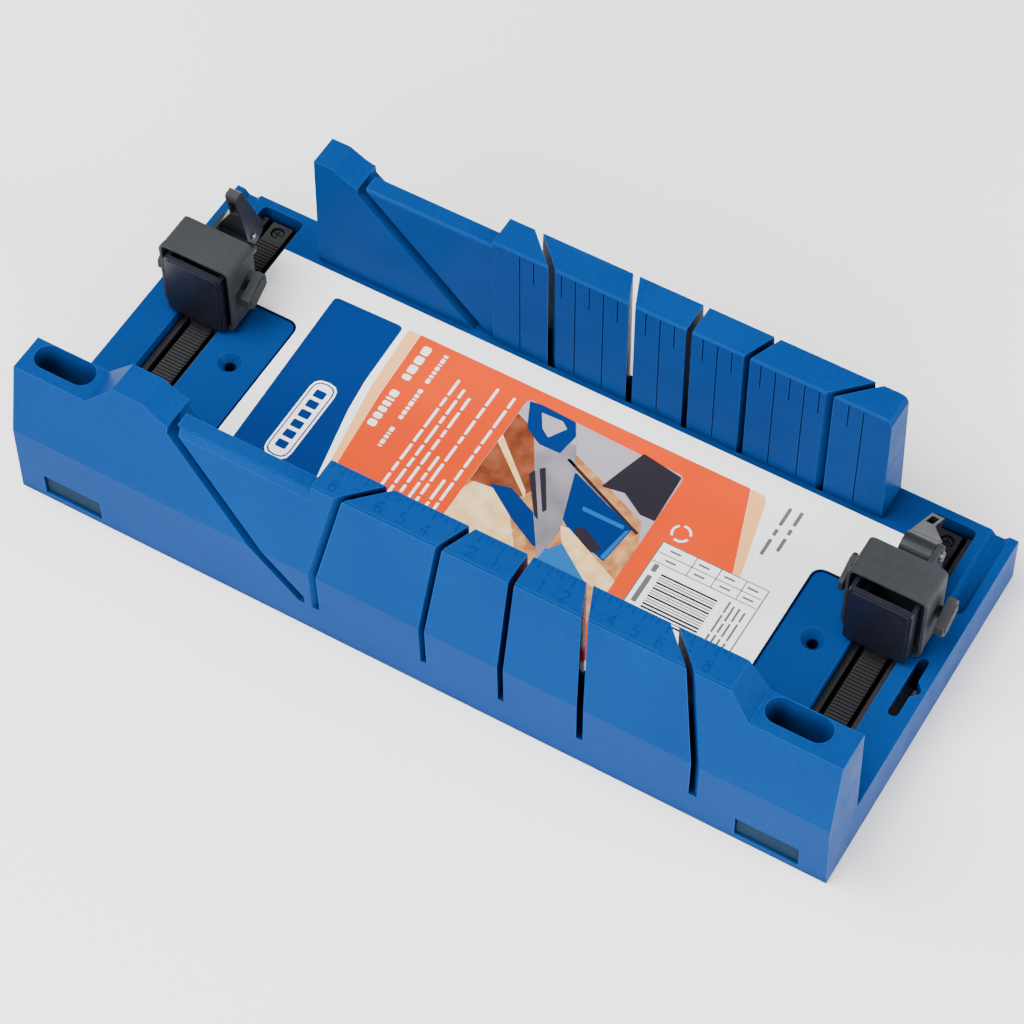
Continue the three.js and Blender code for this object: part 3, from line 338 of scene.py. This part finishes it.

# the third colour of a moulded look tints its specks and is its painted edge highlight
LOOKS = {
    "body": moulded("blue_abs", BLUE, BLUE_LIGHT, BLUE_SPECK_AND_HIGHLIGHT,
                    rough=0.34, grain=1500, depth=0.00006, shine=0.02, crevice_shade=CREVICE_SHADE_NAVY, edge_highlight=0.75),
    "relief": moulded("blue_relief", (0.0002, 0.018, 0.11), (0.0003, 0.021, 0.13),
                      (0.002, 0.045, 0.22), rough=0.36, grain=1500, depth=0.00005, shine=0.03),
    # painted shade: dark strips laid in joints and grooves
    "shade": moulded("navy_shade", (0.0002, 0.002, 0.02), (0.0002, 0.003, 0.026),
                     (0.001, 0.008, 0.05), rough=0.5, grain=1500, depth=0.00005, shine=0.03),
    "case": moulded("charcoal_case", (0.02, 0.0225, 0.0245), (0.027, 0.03, 0.033),
                    (0.06, 0.064, 0.07), rough=0.48, grain=900, depth=0.00014, shine=0.08),
    "jaw": moulded("dark_jaw", (0.0045, 0.005, 0.01), (0.007, 0.0075, 0.014),
                   (0.035, 0.038, 0.05), rough=0.34, grain=900, depth=0.00002, shine=0.25),
    "lever": moulded("dark_lever", (0.009, 0.0098, 0.0125), (0.014, 0.015, 0.019),
                     (0.045, 0.047, 0.054), rough=0.38, grain=900, depth=0.0001, shine=0.2),
    "button": moulded("grey_button", (0.012, 0.0135, 0.015), (0.018, 0.02, 0.022),
                      (0.05, 0.053, 0.057), rough=0.5, grain=900, depth=0.00014, shine=0.1),
    "rack": moulded("black_rack", (0.005, 0.0052, 0.006), (0.013, 0.013, 0.0145),
                    (0.035, 0.036, 0.04), rough=0.55, grain=650, depth=0.0003, shine=0.3),
    "stop": moulded("slate_stop", (0.006, 0.018, 0.04), (0.008, 0.022, 0.048),
                    (0.025, 0.05, 0.09), rough=0.6, grain=700, depth=0.0002, shine=0.04),
    "pawl": moulded("black_pawl", (0.005, 0.005, 0.0055), (0.008, 0.008, 0.0085),
                    (0.03, 0.03, 0.03), rough=0.5, grain=900, depth=0.0001),
    "screw": turned_steel("black_screw", (0.05, 0.05, 0.055), 0.5),
    "pin": turned_steel("bright_pin", (0.3, 0.3, 0.32), 0.34),
    "spring": turned_steel("spring_wire", (0.4, 0.4, 0.42), 0.28),
    "card": printed("white_card", (0.9, 0.9, 0.89), (0.94, 0.94, 0.93)),
    "ink_blue": printed("blue_ink", (0.0003, 0.021, 0.125), (0.0005, 0.025, 0.14)),
    "ink_orange": printed("orange_ink", (0.62, 0.04, 0.001), (0.72, 0.058, 0.002), 14),
    "ink_pale": printed("pale_orange_ink", (0.9, 0.4, 0.14), (0.92, 0.45, 0.18)),
    "ink_white": printed("white_ink", (0.9, 0.9, 0.89)),
    "ink_dark": printed("dark_ink", (0.012, 0.012, 0.018)),
    "ink_grey": printed("grey_ink", (0.1, 0.1, 0.11)),
    "ink_light": printed("light_grey_ink", (0.33, 0.3, 0.34)),
    "ink_steel": printed("steel_grey_ink", (0.16, 0.145, 0.17), (0.26, 0.24, 0.27), 60),
    "ink_wood": printed("wood_ink", (0.33, 0.12, 0.04), (0.6, 0.3, 0.12), 160),
    "ink_wood_pale": printed("pale_wood_ink", (0.7, 0.42, 0.17), (0.85, 0.62, 0.33), 160),
    "ink_brown": printed("brown_ink", (0.13, 0.028, 0.01), (0.25, 0.07, 0.03), 120),
    "ink_slate": printed("slate_ink", (0.018, 0.015, 0.022)),
    "ink_sky": printed("sky_blue_ink", (0.004, 0.09, 0.3), (0.01, 0.13, 0.4)),
}

NODE_LOOKS = {"box_body": "body", "label_card": "card"}
for side in SIDES:
    NODE_LOOKS.update({
        f"rack_{side}": "rack",
        f"rack_screw_{side}_front": "screw",
        f"rack_screw_{side}_back": "screw",
        f"clamp_case_{side}": "case",
        f"clamp_jaw_{side}": "jaw",
        f"clamp_lever_{side}": "lever",
        f"lever_pin_{side}": "pin",
        f"release_button_{side}_inner": "button",
        f"release_button_{side}_outer": "button",
        f"rack_pawl_{side}": "pawl",
        f"pawl_spring_{side}": "spring",
        f"bench_stop_{side}": "stop",
    })

# edge radius of the nodes with each look, the others keep their sharp edges
ROUNDING = {"body": 0.3, "case": 0.9, "jaw": 0.6, "lever": 0.4, "button": 0.5, "stop": 0.3}
ROUNDING_SEGMENTS = 3
SHARP_ANGLE = 35
FLAT_ANGLE = 1
WELD_REACH = 0.00001
FLAT_WEIGHT = 100  # keeps large flat faces flat in their shading


def round_edges(node, radius):
    """Merges the flat faces of a CAD mesh, then rounds the edges that are left."""
    weld = node.modifiers.new("weld", "WELD")
    weld.merge_threshold = WELD_REACH
    merge = node.modifiers.new("merge_flats", "DECIMATE")
    merge.decimate_type = "DISSOLVE"
    merge.angle_limit = math.radians(FLAT_ANGLE)
    bevel = node.modifiers.new("bevel", "BEVEL")
    bevel.width = radius * MM
    bevel.segments = ROUNDING_SEGMENTS
    bevel.limit_method = "ANGLE"
    bevel.angle_limit = math.radians(SHARP_ANGLE)
    smooth = node.modifiers.new("normals", "WEIGHTED_NORMAL")
    smooth.weight = FLAT_WEIGHT
    smooth.keep_sharp = True


def dress_nodes():
    """Gives every CAD node its material and rounds its edges."""
    for name, look in NODE_LOOKS.items():
        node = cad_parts[name]
        for material_slot in node.material_slots:
            material_slot.material = LOOKS[look]
        if look in ROUNDING:
            round_edges(node, ROUNDING[look])


# ---- closed meshes --------------------------------------------------------------------

CORNER_SHARE = 0.45  # the most of a side that one rounded corner takes
RIM_EASE = 0.04  # how far the upper rim of a slab is eased inwards and down


def signed_area(points):
    """Above 0 for an outline that runs anticlockwise."""
    return sum(a[0] * b[1] - b[0] * a[1] for a, b in zip(points, points[1:] + points[:1])) / 2


def anticlockwise(points):
    return points if signed_area(points) > 0 else list(reversed(points))


def smooth_corners(points, radius, steps=5):
    """Rounds every corner of an outline with a small curve."""
    made = []
    count = len(points)
    for i, point in enumerate(points):
        corner = Vector(point)
        before = Vector(points[i - 1]) - corner
        after = Vector(points[(i + 1) % count]) - corner
        reach = min(radius, before.length * CORNER_SHARE, after.length * CORNER_SHARE)
        start = corner + before.normalized() * reach
        end = corner + after.normalized() * reach
        for k in range(steps + 1):
            t = k / steps
            made.append(tuple(start * (1 - t) ** 2 + corner * 2 * t * (1 - t) + end * t ** 2))
    return made


def bar(x0, x1, y0, y1, radius):
    """The outline of a rectangle with rounded corners."""
    return smooth_corners([(x0, y0), (x1, y0), (x1, y1), (x0, y1)], radius, 3)


def add_prism(form, points, bottom, top):
    """Adds one closed slab with an outline in (x, y) and a slightly eased upper rim."""
    count = len(points)
    middle = Vector((sum(p[0] for p in points) / count, sum(p[1] for p in points) / count))
    ease = min(RIM_EASE, (top - bottom) / 2)

    def ring(z, inset):
        corners = []
        for p in points:
            inward = middle - Vector(p)
            step = inward.normalized() * min(inset, inward.length / 2)
            corners.append(form.verts.new(((p[0] + step.x) * MM, (p[1] + step.y) * MM, z * MM)))
        return corners

    rings = [ring(bottom, 0), ring(top - ease, 0), ring(top, ease)]
    form.faces.new(list(reversed(rings[0])))
    form.faces.new(rings[-1])
    for low, high in zip(rings, rings[1:]):
        for i, vert in enumerate(low):
            j = (i + 1) % len(low)
            form.faces.new((vert, low[j], high[j], high[i]))


def finish_mesh(name, form, look):
    """Turns a bmesh into an object with its material."""
    bmesh.ops.recalc_face_normals(form, faces=form.faces)
    mesh = bpy.data.meshes.new(name)
    form.to_mesh(mesh)
    form.free()
    mesh.materials.append(LOOKS[look])
    return link_object(name, mesh)


# ---- printed card ---------------------------------------------------------------------

CARD_TOP = 23.35
INK = 0.05  # thickness of one layer of print
PRINT_FRONT = -53  # front edge of the coloured panels
LETTER_ROUND = 0.6  # corner radius of a bar in place of a word, over its half width

BLUE_PANEL = [
    (-114.7, 50.4), (-81.9, 51), (-81, 19.2), (-79.2, 3.2), (-75.7, -14.5), (-73, -28),
    (-68, PRINT_FRONT), (-111.5, PRINT_FRONT)]
PALE_LEFT = [
    (-79.3, 50.9), (-77.4, 17.2), (-71.8, -21.5), (-65.5, PRINT_FRONT), (-61, PRINT_FRONT),
    (-68.9, -20.9), (-72.6, 17), (-73.9, 51)]
PALE_RIGHT = [
    (80.2, 50.6), (86.3, 50.3), (88.2, 48.4), (96.1, 12.2), (100, -12), (102, PRINT_FRONT),
    (99, PRINT_FRONT), (97, -12), (92.8, 12)]
ORANGE_PANEL = [
    (-73.7, 51), (80, 50.6), (92.7, 12.1), (97, -12), (99, PRINT_FRONT), (-61, PRINT_FRONT),
    (-68.9, -20.9), (-72.4, 17)]
PANELS = [  # name, look, outlines with their corner radius
    ("print_blue_panel", "ink_blue", [(BLUE_PANEL, 2.5)]),
    ("print_pale_bands", "ink_pale", [(PALE_LEFT, 1.0), (PALE_RIGHT, 1.5)]),
    ("print_orange_panel", "ink_orange", [(ORANGE_PANEL, 0.4)]),
]

BADGE_LAYER = 2
BADGE = [  # the lowest layer first
    ("print_badge", "ink_white", bar(-99, -87.2, -32, 11, 5.6)),
    ("print_badge_line", "ink_blue", bar(-98.1, -88.1, -31, 10, 4.9)),
    ("print_badge_field", "ink_white", bar(-97.5, -88.7, -30.3, 9.3, 4.3)),
]
BLOCK_LEFT, BLOCK_RIGHT = -95.6, -90.6
BLOCK_FRONT, BLOCK_BACK = -26.6, -22.6
BLOCK_ROUND = 0.7
BLOCK_COUNT = 6
BLOCK_PITCH = 5.7

TITLE_BARS = [  # x, half width, lowest y, highest y, bar lengths, gap
    (-67.4, 1.9, 1, 21.5, (3.4, 1.2, 2.2, 2.6, 3), 0.9),
    (-67.4, 1.9, 28, 47, (4.6, 4.2, 4.4), 1.0),
    (-58.8, 0.95, 30, 47, (1.4, 2.4, 0.8, 2, 1.6), 0.7),
    (-58.8, 0.95, 8.5, 27, (2.2, 1.8, 0.8, 2.6, 1.4), 0.7),
    (-58.8, 0.95, -6.5, 5, (2.4, 0.8, 1.6), 0.7),
]
TEXT_HALF = 0.62
TEXT_LOW = -50
TEXT_GAP = 1.3
TEXT_BARS = [  # x, highest y, bar lengths
    (-48, 38.9, (9, 5, 11, 7)), (-43.7, 35.7, (5, 8, 4, 10, 6)), (-39.6, 33, (7, 9, 4, 6)),
    (-35.4, 1.6, (8, 4, 9)), (-32, 43, (10, 6, 8, 4, 9)), (-27.4, -7, (11, 6)),
    (-23.8, 42.3, (6, 10, 8, 4, 7)),
]


def printed_shapes(name, look, outlines, layer):
    """One printed colour: flat slabs standing on the card, layer by layer."""
    form = bmesh.new()
    for points in outlines:
        add_prism(form, anticlockwise(points), CARD_TOP, CARD_TOP + layer * INK)
    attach(finish_mesh(name, form, look), "base")


def words(x, half, spans):
    """A line of plain bars in place of words, running along Y."""
    return [bar(x - half, x + half, y0, y1, half * LETTER_ROUND) for y0, y1 in spans]


def split_line(x, half, y0, y1, lengths, gap):
    """Bars of the given lengths, one after another from y1 down to y0."""
    spans, top, i = [], y1, 0
    while top - y0 > half:
        low = max(y0, top - lengths[i % len(lengths)])
        spans.append((low, top))
        top = low - gap
        i += 1
    return words(x, half, spans)


def print_panels():
    for name, look, outlines in PANELS:
        rounded = [smooth_corners(points, radius) for points, radius in outlines]
        printed_shapes(name, look, rounded, 1)


def print_badge():
    """A plain white capsule with a thin blue line and a row of blue blocks inside."""
    for layer, (name, look, outline) in enumerate(BADGE, BADGE_LAYER):
        printed_shapes(name, look, [outline], layer)
    blocks = []
    for i in range(BLOCK_COUNT):
        step = BLOCK_PITCH * i
        blocks.append(bar(BLOCK_LEFT, BLOCK_RIGHT, BLOCK_FRONT + step, BLOCK_BACK + step,
                          BLOCK_ROUND))
    printed_shapes("print_badge_bars", "ink_blue", blocks, BADGE_LAYER + len(BADGE))


def print_words():
    bars = []
    for line in TITLE_BARS:
        bars += split_line(*line)
    for x, top, lengths in TEXT_BARS:
        bars += split_line(x, TEXT_HALF, TEXT_LOW, top, lengths, TEXT_GAP)
    printed_shapes("print_word_bars", "ink_white", bars, 2)


WALL_ROUND = 3
SHAPE_ROUND = 0.5
PICTURE = [  # name, look, layer, outline
    ("wall", "ink_light", 2, [
        (-19.5, PRINT_FRONT), (54.9, PRINT_FRONT), (54.6, 42.4), (-18.9, 44.9)]),
    ("planks", "ink_wood", 3, [
        (-19.4, PRINT_FRONT), (54.7, PRINT_FRONT), (54.8, 4), (50.2, 14.7), (10.9, 30.5),
        (-4, 27), (-18.8, 36)]),
    ("board", "ink_brown", 4, [
        (-18.9, -2), (-18.8, 36.3), (-9.2, 32.3), (-3, 22), (5.8, 6.6), (1, -2.4)]),
    ("board_edge", "ink_wood_pale", 5, [(-18.9, 20), (-18.8, 24), (3.1, 4.5), (4.6, 1)]),
    ("strip_left", "ink_wood_pale", 6, [
        (-17.2, -1.8), (-2.8, -0.2), (12.7, -21), (22, -42), (-19, -42), (-19.2, -6.4)]),
    ("box_left", "ink_blue", 7, [
        (-11, 0.6), (-2.3, 2.9), (14.5, -4.7), (24.5, -16), (18.7, -17), (4.1, -9.4)]),
    ("box_right", "ink_blue", 7, [
        (9.5, 17.5), (16.4, 22.3), (48.8, 9.2), (46.6, -9.6), (28.6, -4.4), (20, 2)]),
    ("box_front", "ink_sky", 7, [(23.5, -17), (28.7, -9.9), (44, -20), (46, -30), (22, -30)]),
    ("box_shine", "ink_sky", 8, [(26.7, 9.4), (45.7, 9.3), (45.8, 7.4), (27.4, 7.4)]),
    ("box_lip", "ink_sky", 8, [(46.9, 7.4), (48.4, 8.6), (46.4, -9), (44.4, -8.4)]),
    ("box_clamp", "ink_slate", 8, [
        (28.8, -1), (33, 0.5), (43.5, -5.2), (40.5, -8.4), (31, -5)]),
    ("strip_right", "ink_wood_pale", 9, [
        (23.6, -3.4), (27, -2.6), (55.2, -15.5), (55, -24), (44.9, -21.7), (27.7, -9.9)]),
    ("plank_line", "ink_slate", 9, [(9.6, 26), (10.6, 27), (52.2, 8.9), (51.2, 8)]),
    ("slate_block", "ink_slate", 9, [
        (28.2, 21.6), (31.6, 33.1), (35.1, 44), (53.7, 41.2), (54.6, 17.4), (48.1, 17.2),
        (37.8, 23.4)]),
    ("handle", "ink_blue", 10, [
        (-17.7, 43.9), (-12.5, 44.7), (3.6, 43.9), (7.1, 37.9), (5.9, 27.2), (-3.5, 26.9),
        (-12, 31.8)]),
    ("grip", "ink_light", 11, [
        (-10.6, 41.2), (-1, 41.6), (2.4, 39.1), (-2.2, 31.6), (-6.4, 34.4)]),
    ("blade", "ink_steel", 9, [
        (-5.4, 27), (9.2, 34.3), (15.8, 21.9), (24.4, -5), (23.6, -22), (12.1, -4.7)]),
    ("blade_line", "ink_slate", 10, [
        (0.2, 12.3), (1.4, 15), (12.6, -2.2), (14.6, -5.4), (12.4, -4.6)]),
    ("blade_mark", "ink_slate", 10, [(2.6, 16.5), (4.4, 18.3), (15.2, 0.4), (14.2, -1.4)]),
]


def print_picture():
    """Plain shapes in place of the card's picture: a saw, a box and boards, and no people."""
    for name, look, layer, points in PICTURE:
        radius = WALL_ROUND if name == "wall" else SHAPE_ROUND
        printed_shapes("picture_" + name, look, [smooth_corners(points, radius)], layer)


TABLE_LEFT, TABLE_RIGHT = 62.4, 109.4
TABLE_FRONT, TABLE_BACK = -46, 10.6
TABLE_ROUND = 0.4
TABLE_SIDES = ((62.2, 62.7), (109.1, 109.6))
TABLE_ROWS = (5.5, 0.8)
ROW_LEFT, ROW_RIGHT = 63, 108.6
TABLE_COLUMNS = (77.8, 88.6, 99.8)
CELL_MIDDLES = (69.5, 82.2, 93.5, 103.8)
CELL_BARS = [(-2.6, 2.2, 7.6, 8.5), (-2.2, 2.6, 2.7, 3.6)]  # x from the middle of a cell, and y
CELL_ROUND = 0.3
RULE = 0.22  # half width of a ruled line
RULE_ROUND = 0.1
STRIPE_LEFT, STRIPE_RIGHT = 69.2, 94.2
STRIPE_BACK = -3.2
STRIPE_GAP = 0.75
STRIPES = (0.9, 0.45, 0.45, 0.9, 0.45, 0.9, 0.45, 0.45, 0.9, 0.45, 0.45, 0.9, 0.9, 0.45, 0.9)
WIDE_X = 65.6
WIDE_HALF = 1.1
WIDE_BARS = [(-20, -6), (-4, 0)]  # where each bar starts and ends
SMALL_HALF = 0.45
SMALL_LOW = -30
SMALL_GAP = 1.1
SMALL_BARS = [  # x, highest y, bar lengths
    (98.7, -1.2, (6, 9)), (101, -2.4, (8, 5)), (103.4, -2.3, (7, 7)), (106, -3, (5, 9)),
]
SIDE_HALF = 0.8
SIDE_BARS = [  # x, where each bar starts and ends
    (98.3, [(24.5, 33), (35, 38.5), (40.5, 50)]),
    (103.2, [(29, 36), (38, 41), (43, 50.5)]),
]
RING_X, RING_Y = 66.6, 17.5
RING_RADIUS = 4.3
RING_WIDTH = 1.0
RING_ARCS = 3
ARC_START = 10
ARC_TURN = 90
ARC_STEPS = 9


def ring_arcs():
    """Three short arcs round one centre."""
    arcs = []
    for i in range(RING_ARCS):
        start = math.radians(360 / RING_ARCS * i + ARC_START)
        end = math.radians(360 / RING_ARCS * i + ARC_START + ARC_TURN)
        outer, inner = [], []
        for k in range(ARC_STEPS + 1):
            angle = start + (end - start) * k / ARC_STEPS
            for curve, radius in ((outer, RING_RADIUS), (inner, RING_RADIUS - RING_WIDTH)):
                curve.append((RING_X + radius * math.cos(angle), RING_Y + radius * math.sin(angle)))
        arcs.append(outer + list(reversed(inner)))
    return arcs


def print_table():
    """White box with a small ruled table, plain stripes and grey bars, and what is beside it."""
    box = bar(TABLE_LEFT, TABLE_RIGHT, TABLE_FRONT, TABLE_BACK, TABLE_ROUND)
    printed_shapes("print_box", "ink_white", [box], 2)

    rules = [bar(TABLE_LEFT, TABLE_RIGHT, TABLE_BACK - RULE, TABLE_BACK + RULE, RULE_ROUND)]
    for y in TABLE_ROWS:
        rules.append(bar(ROW_LEFT, ROW_RIGHT, y - RULE, y + RULE, RULE_ROUND))
    for x0, x1 in TABLE_SIDES:
        rules.append(bar(x0, x1, TABLE_FRONT, TABLE_BACK, RULE_ROUND))
    for x in TABLE_COLUMNS:
        rules.append(bar(x - RULE, x + RULE, TABLE_ROWS[-1], TABLE_BACK, RULE_ROUND))
    printed_shapes("print_rules", "ink_grey", rules, 3)

    stripes = []
    y = STRIPE_BACK
    for width in STRIPES:
        stripes.append(bar(STRIPE_LEFT, STRIPE_RIGHT, y - width, y, RULE_ROUND))
        y -= width + STRIPE_GAP
    printed_shapes("print_stripes", "ink_dark", stripes, 3)

    small = words(WIDE_X, WIDE_HALF, WIDE_BARS)
    for x, top, lengths in SMALL_BARS:
        small += split_line(x, SMALL_HALF, SMALL_LOW, top, lengths, SMALL_GAP)
    for x in CELL_MIDDLES:
        small += [bar(x + x0, x + x1, y0, y1, CELL_ROUND) for x0, x1, y0, y1 in CELL_BARS]
    printed_shapes("print_small_bars", "ink_grey", small, 3)

    beside = []
    for x, spans in SIDE_BARS:
        beside += words(x, SIDE_HALF, spans)
    printed_shapes("print_side_bars", "ink_grey", beside, 1)
    printed_shapes("print_ring", "ink_white", ring_arcs(), 2)


# ---- joint between the card and the end plates ----------------------------------------

TRAY_TOP = 22.8
SINK = 0.1  # how far a thin strip goes into the face that it lies on
PLATE_EDGE = 119.5
PLATE_END = 146.2
PLATE_FRONT = -56
PLATE_BACK = 30.8
PLATE_ROUND = 5
PLATE_STEPS = 6
PLATE_SHADE_WIDTH = 0.9
PLATE_SHADE_RISE = 0.12


def plate_line(inset):
    """The edge of an end plate, from the front round its inner back corner."""
    radius = PLATE_ROUND - inset
    cx, cy = PLATE_EDGE + PLATE_ROUND, PLATE_BACK - PLATE_ROUND
    line = [(PLATE_EDGE + inset, PLATE_FRONT)]
    for k in range(PLATE_STEPS + 1):
        angle = math.radians(180 - 90 / PLATE_STEPS * k)
        line.append((cx + radius * math.cos(angle), cy + radius * math.sin(angle)))
    line.append((PLATE_END, PLATE_BACK - inset))
    return line


def make_plate_shade():
    """Narrow dark strip of painted shadow in the joint between the card and each end plate."""
    outline = plate_line(0) + list(reversed(plate_line(PLATE_SHADE_WIDTH)))
    for side, sign in zip(SIDES, (-1, 1)):
        points = anticlockwise([(sign * x, y) for x, y in outline])
        form = bmesh.new()
        add_prism(form, points, TRAY_TOP - SINK, TRAY_TOP + PLATE_SHADE_RISE)
        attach(finish_mesh(f"plate_shade_{side}", form, "shade"), "base")


# ---- scale on the front wall ----------------------------------------------------------

WALL_TOP = 85.4
WALL_INNER = -58.2
SCALE_MIDDLE = 42.0
CROSS_Y = 2.7  # where the lines of the saw slots cross
SLOT_HALF = 1.3
SLOT_ANGLES = (-45, -22.5, 0, 22.5, 45)
SLOT_MARGIN = 0.5
CENTIMETRE = 10
DIGIT_WIDE = 3.3
DIGIT_TALL = 5.0
DIGIT_Y = -70.4
STROKE = 0.16  # half width of a stroke
STROKE_STEP = 0.5
RELIEF = 0.14
MARK_STEP = 2.5
MARK_COUNT = 34  # on each side of the middle
MARK_START = WALL_INNER - 0.5
MARK_LENGTHS = (4.5, 1.5, 3.0, 1.5)  # at 0, 2.5, 5 and 7.5 mm of each centimetre
DIGITS = {  # each is one line, in a box one wide and one tall
    1: [(0.35, 0.8), (0.6, 1), (0.6, 0)],
    2: [(0.05, 0.75), (0.2, 0.95), (0.5, 1), (0.8, 0.9), (0.9, 0.7), (0.7, 0.45), (0.05, 0),
        (0.95, 0)],
    3: [(0.08, 0.85), (0.3, 1), (0.65, 0.98), (0.88, 0.8), (0.75, 0.58), (0.45, 0.52),
        (0.8, 0.45), (0.92, 0.22), (0.7, 0.02), (0.3, 0), (0.05, 0.15)],
    4: [(0.7, 0), (0.7, 1), (0.05, 0.3), (0.95, 0.3)],
    5: [(0.85, 1), (0.2, 1), (0.12, 0.55), (0.45, 0.64), (0.8, 0.55), (0.92, 0.3),
        (0.75, 0.05), (0.4, 0), (0.06, 0.12)],
    6: [(0.8, 0.95), (0.5, 1), (0.2, 0.8), (0.07, 0.4), (0.15, 0.1), (0.5, 0), (0.85, 0.1),
        (0.92, 0.33), (0.75, 0.55), (0.4, 0.58), (0.1, 0.38)],
    7: [(0.05, 1), (0.95, 1), (0.4, 0)],
    8: [(0.5, 0.53), (0.2, 0.65), (0.13, 0.83), (0.35, 1), (0.65, 1), (0.87, 0.83), (0.8, 0.65),
        (0.5, 0.53), (0.15, 0.4), (0.07, 0.18), (0.3, 0), (0.7, 0), (0.93, 0.18), (0.85, 0.4),
        (0.5, 0.53)],
}


def slot_middle(angle, y):
    """The x of the middle of a saw slot at a given y."""
    return SCALE_MIDDLE + math.tan(math.radians(angle)) * (y - CROSS_Y)


def in_slot(x, y):
    for angle in SLOT_ANGLES:
        away = abs(x - slot_middle(angle, y)) * math.cos(math.radians(angle))
        if away < SLOT_HALF + SLOT_MARGIN:
            return True
    return False


def add_stroke(form, start, end):
    """One short raised stroke on the wall top, left out where a slot runs."""
    start = Vector(start)
    along = Vector(end) - start
    steps = max(1, round(along.length / STROKE_STEP))
    side = Vector((-along.y, along.x)).normalized() * STROKE
    for i in range(steps):
        a = start + along * (i / steps)
        b = start + along * ((i + 1) / steps)
        if not in_slot((a.x + b.x) / 2, (a.y + b.y) / 2):
            add_prism(form, [tuple(a - side), tuple(b - side), tuple(b + side), tuple(a + side)],
                      WALL_TOP - SINK, WALL_TOP + RELIEF)


def make_scale():
    """Centimetre numbers and marks, counted both ways from the middle slot."""
    form = bmesh.new()
    for sign in (-1, 1):
        for number, line in DIGITS.items():
            left = SCALE_MIDDLE + sign * number * CENTIMETRE - DIGIT_WIDE / 2
            placed = [(left + u * DIGIT_WIDE, DIGIT_Y + v * DIGIT_TALL) for u, v in line]
            for start, end in zip(placed, placed[1:]):
                add_stroke(form, start, end)
    for step in range(-MARK_COUNT, MARK_COUNT + 1):
        x = SCALE_MIDDLE + step * MARK_STEP
        length = MARK_LENGTHS[step % len(MARK_LENGTHS)]
        add_stroke(form, (x, MARK_START), (x, MARK_START - length))
    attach(finish_mesh("scale_marks", form, "relief"), "base")


# ---- inch lines in the back wall ------------------------------------------------------

QUARTER_INCH = 6.35
LAST_LINE = 12  # on each side of the middle
SLOT_CLEAR = 3.4  # no line is nearer than this to the middle of a slot
BACK_INNER = 64.0
LINE_DEPTH = 0.35
LINE_FRONT = BACK_INNER + 0.2
LINE_BACK = BACK_INNER + LINE_DEPTH + SINK
LINE_HALF = 0.24
LINE_TOP = WALL_TOP - 1.4
SHORT_LINE_FOOT = WALL_TOP - 14.8
LONG_LINE_FOOT = TRAY_TOP + 2.2


def make_line_shades():
    """Painted shade: dark strips at the bottoms of the engraved inch lines on the back wall."""
    form = bmesh.new()
    slots = [slot_middle(angle, BACK_INNER) for angle in SLOT_ANGLES]
    for step in range(-LAST_LINE, LAST_LINE + 1):
        x = SCALE_MIDDLE + step * QUARTER_INCH
        if any(abs(x - middle) < SLOT_CLEAR for middle in slots):
            continue
        strip = [(x - LINE_HALF, LINE_FRONT), (x + LINE_HALF, LINE_FRONT),
                 (x + LINE_HALF, LINE_BACK), (x - LINE_HALF, LINE_BACK)]
        add_prism(form, strip, LONG_LINE_FOOT if step % 2 == 0 else SHORT_LINE_FOOT, LINE_TOP)
    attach(finish_mesh("inch_line_shades", form, "shade"), "base")


# ---- pawl springs ---------------------------------------------------------------------

COIL_TURNS = 6
COIL_STEPS = 20  # along each turn
COIL_WIRE = 0.28  # radius of the wire
COIL_SIDES = 8
COIL_SEAT = 0.4  # share of a turn that lies flat at each end


def make_coil(side):
    """A coiled spring in the space of the CAD spring, which it replaces."""
    low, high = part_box(f"pawl_spring_{side}")
    middle = (low + high) / 2
    radius = (high.x - low.x) / 2 - COIL_WIRE * MM
    bottom, top = low.z + COIL_WIRE * MM, high.z - COIL_WIRE * MM
    steps = COIL_TURNS * COIL_STEPS
    form = bmesh.new()
    rings = []
    for i in range(steps + 1):
        turned = i / steps * COIL_TURNS
        rise = min(1, max(0, (turned - COIL_SEAT) / (COIL_TURNS - 2 * COIL_SEAT)))
        outward = Vector((math.cos(turned * math.tau), math.sin(turned * math.tau), 0))
        centre = Vector((middle.x, middle.y, bottom + (top - bottom) * rise)) + outward * radius
        ring = []
        for k in range(COIL_SIDES):
            turn = math.tau * k / COIL_SIDES
            offset = outward * math.cos(turn) + Vector((0, 0, math.sin(turn)))
            ring.append(form.verts.new(centre + offset * COIL_WIRE * MM))
        rings.append(ring)
    for near, far in zip(rings, rings[1:]):
        for k in range(COIL_SIDES):
            j = (k + 1) % COIL_SIDES
            form.faces.new((near[k], near[j], far[j], far[k]))
    form.faces.new(rings[0])
    form.faces.new(list(reversed(rings[-1])))
    for face in form.faces:
        face.smooth = True
    coil = finish_mesh(f"pawl_coil_{side}", form, "spring")
    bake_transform(coil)
    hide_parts(f"pawl_spring_{side}")


make_camera()
make_studio()
dress_nodes()
for side in SIDES:
    make_coil(side)
print_panels()
print_badge()
print_words()
print_picture()
print_table()
make_plate_shade()
make_scale()
make_line_shades()
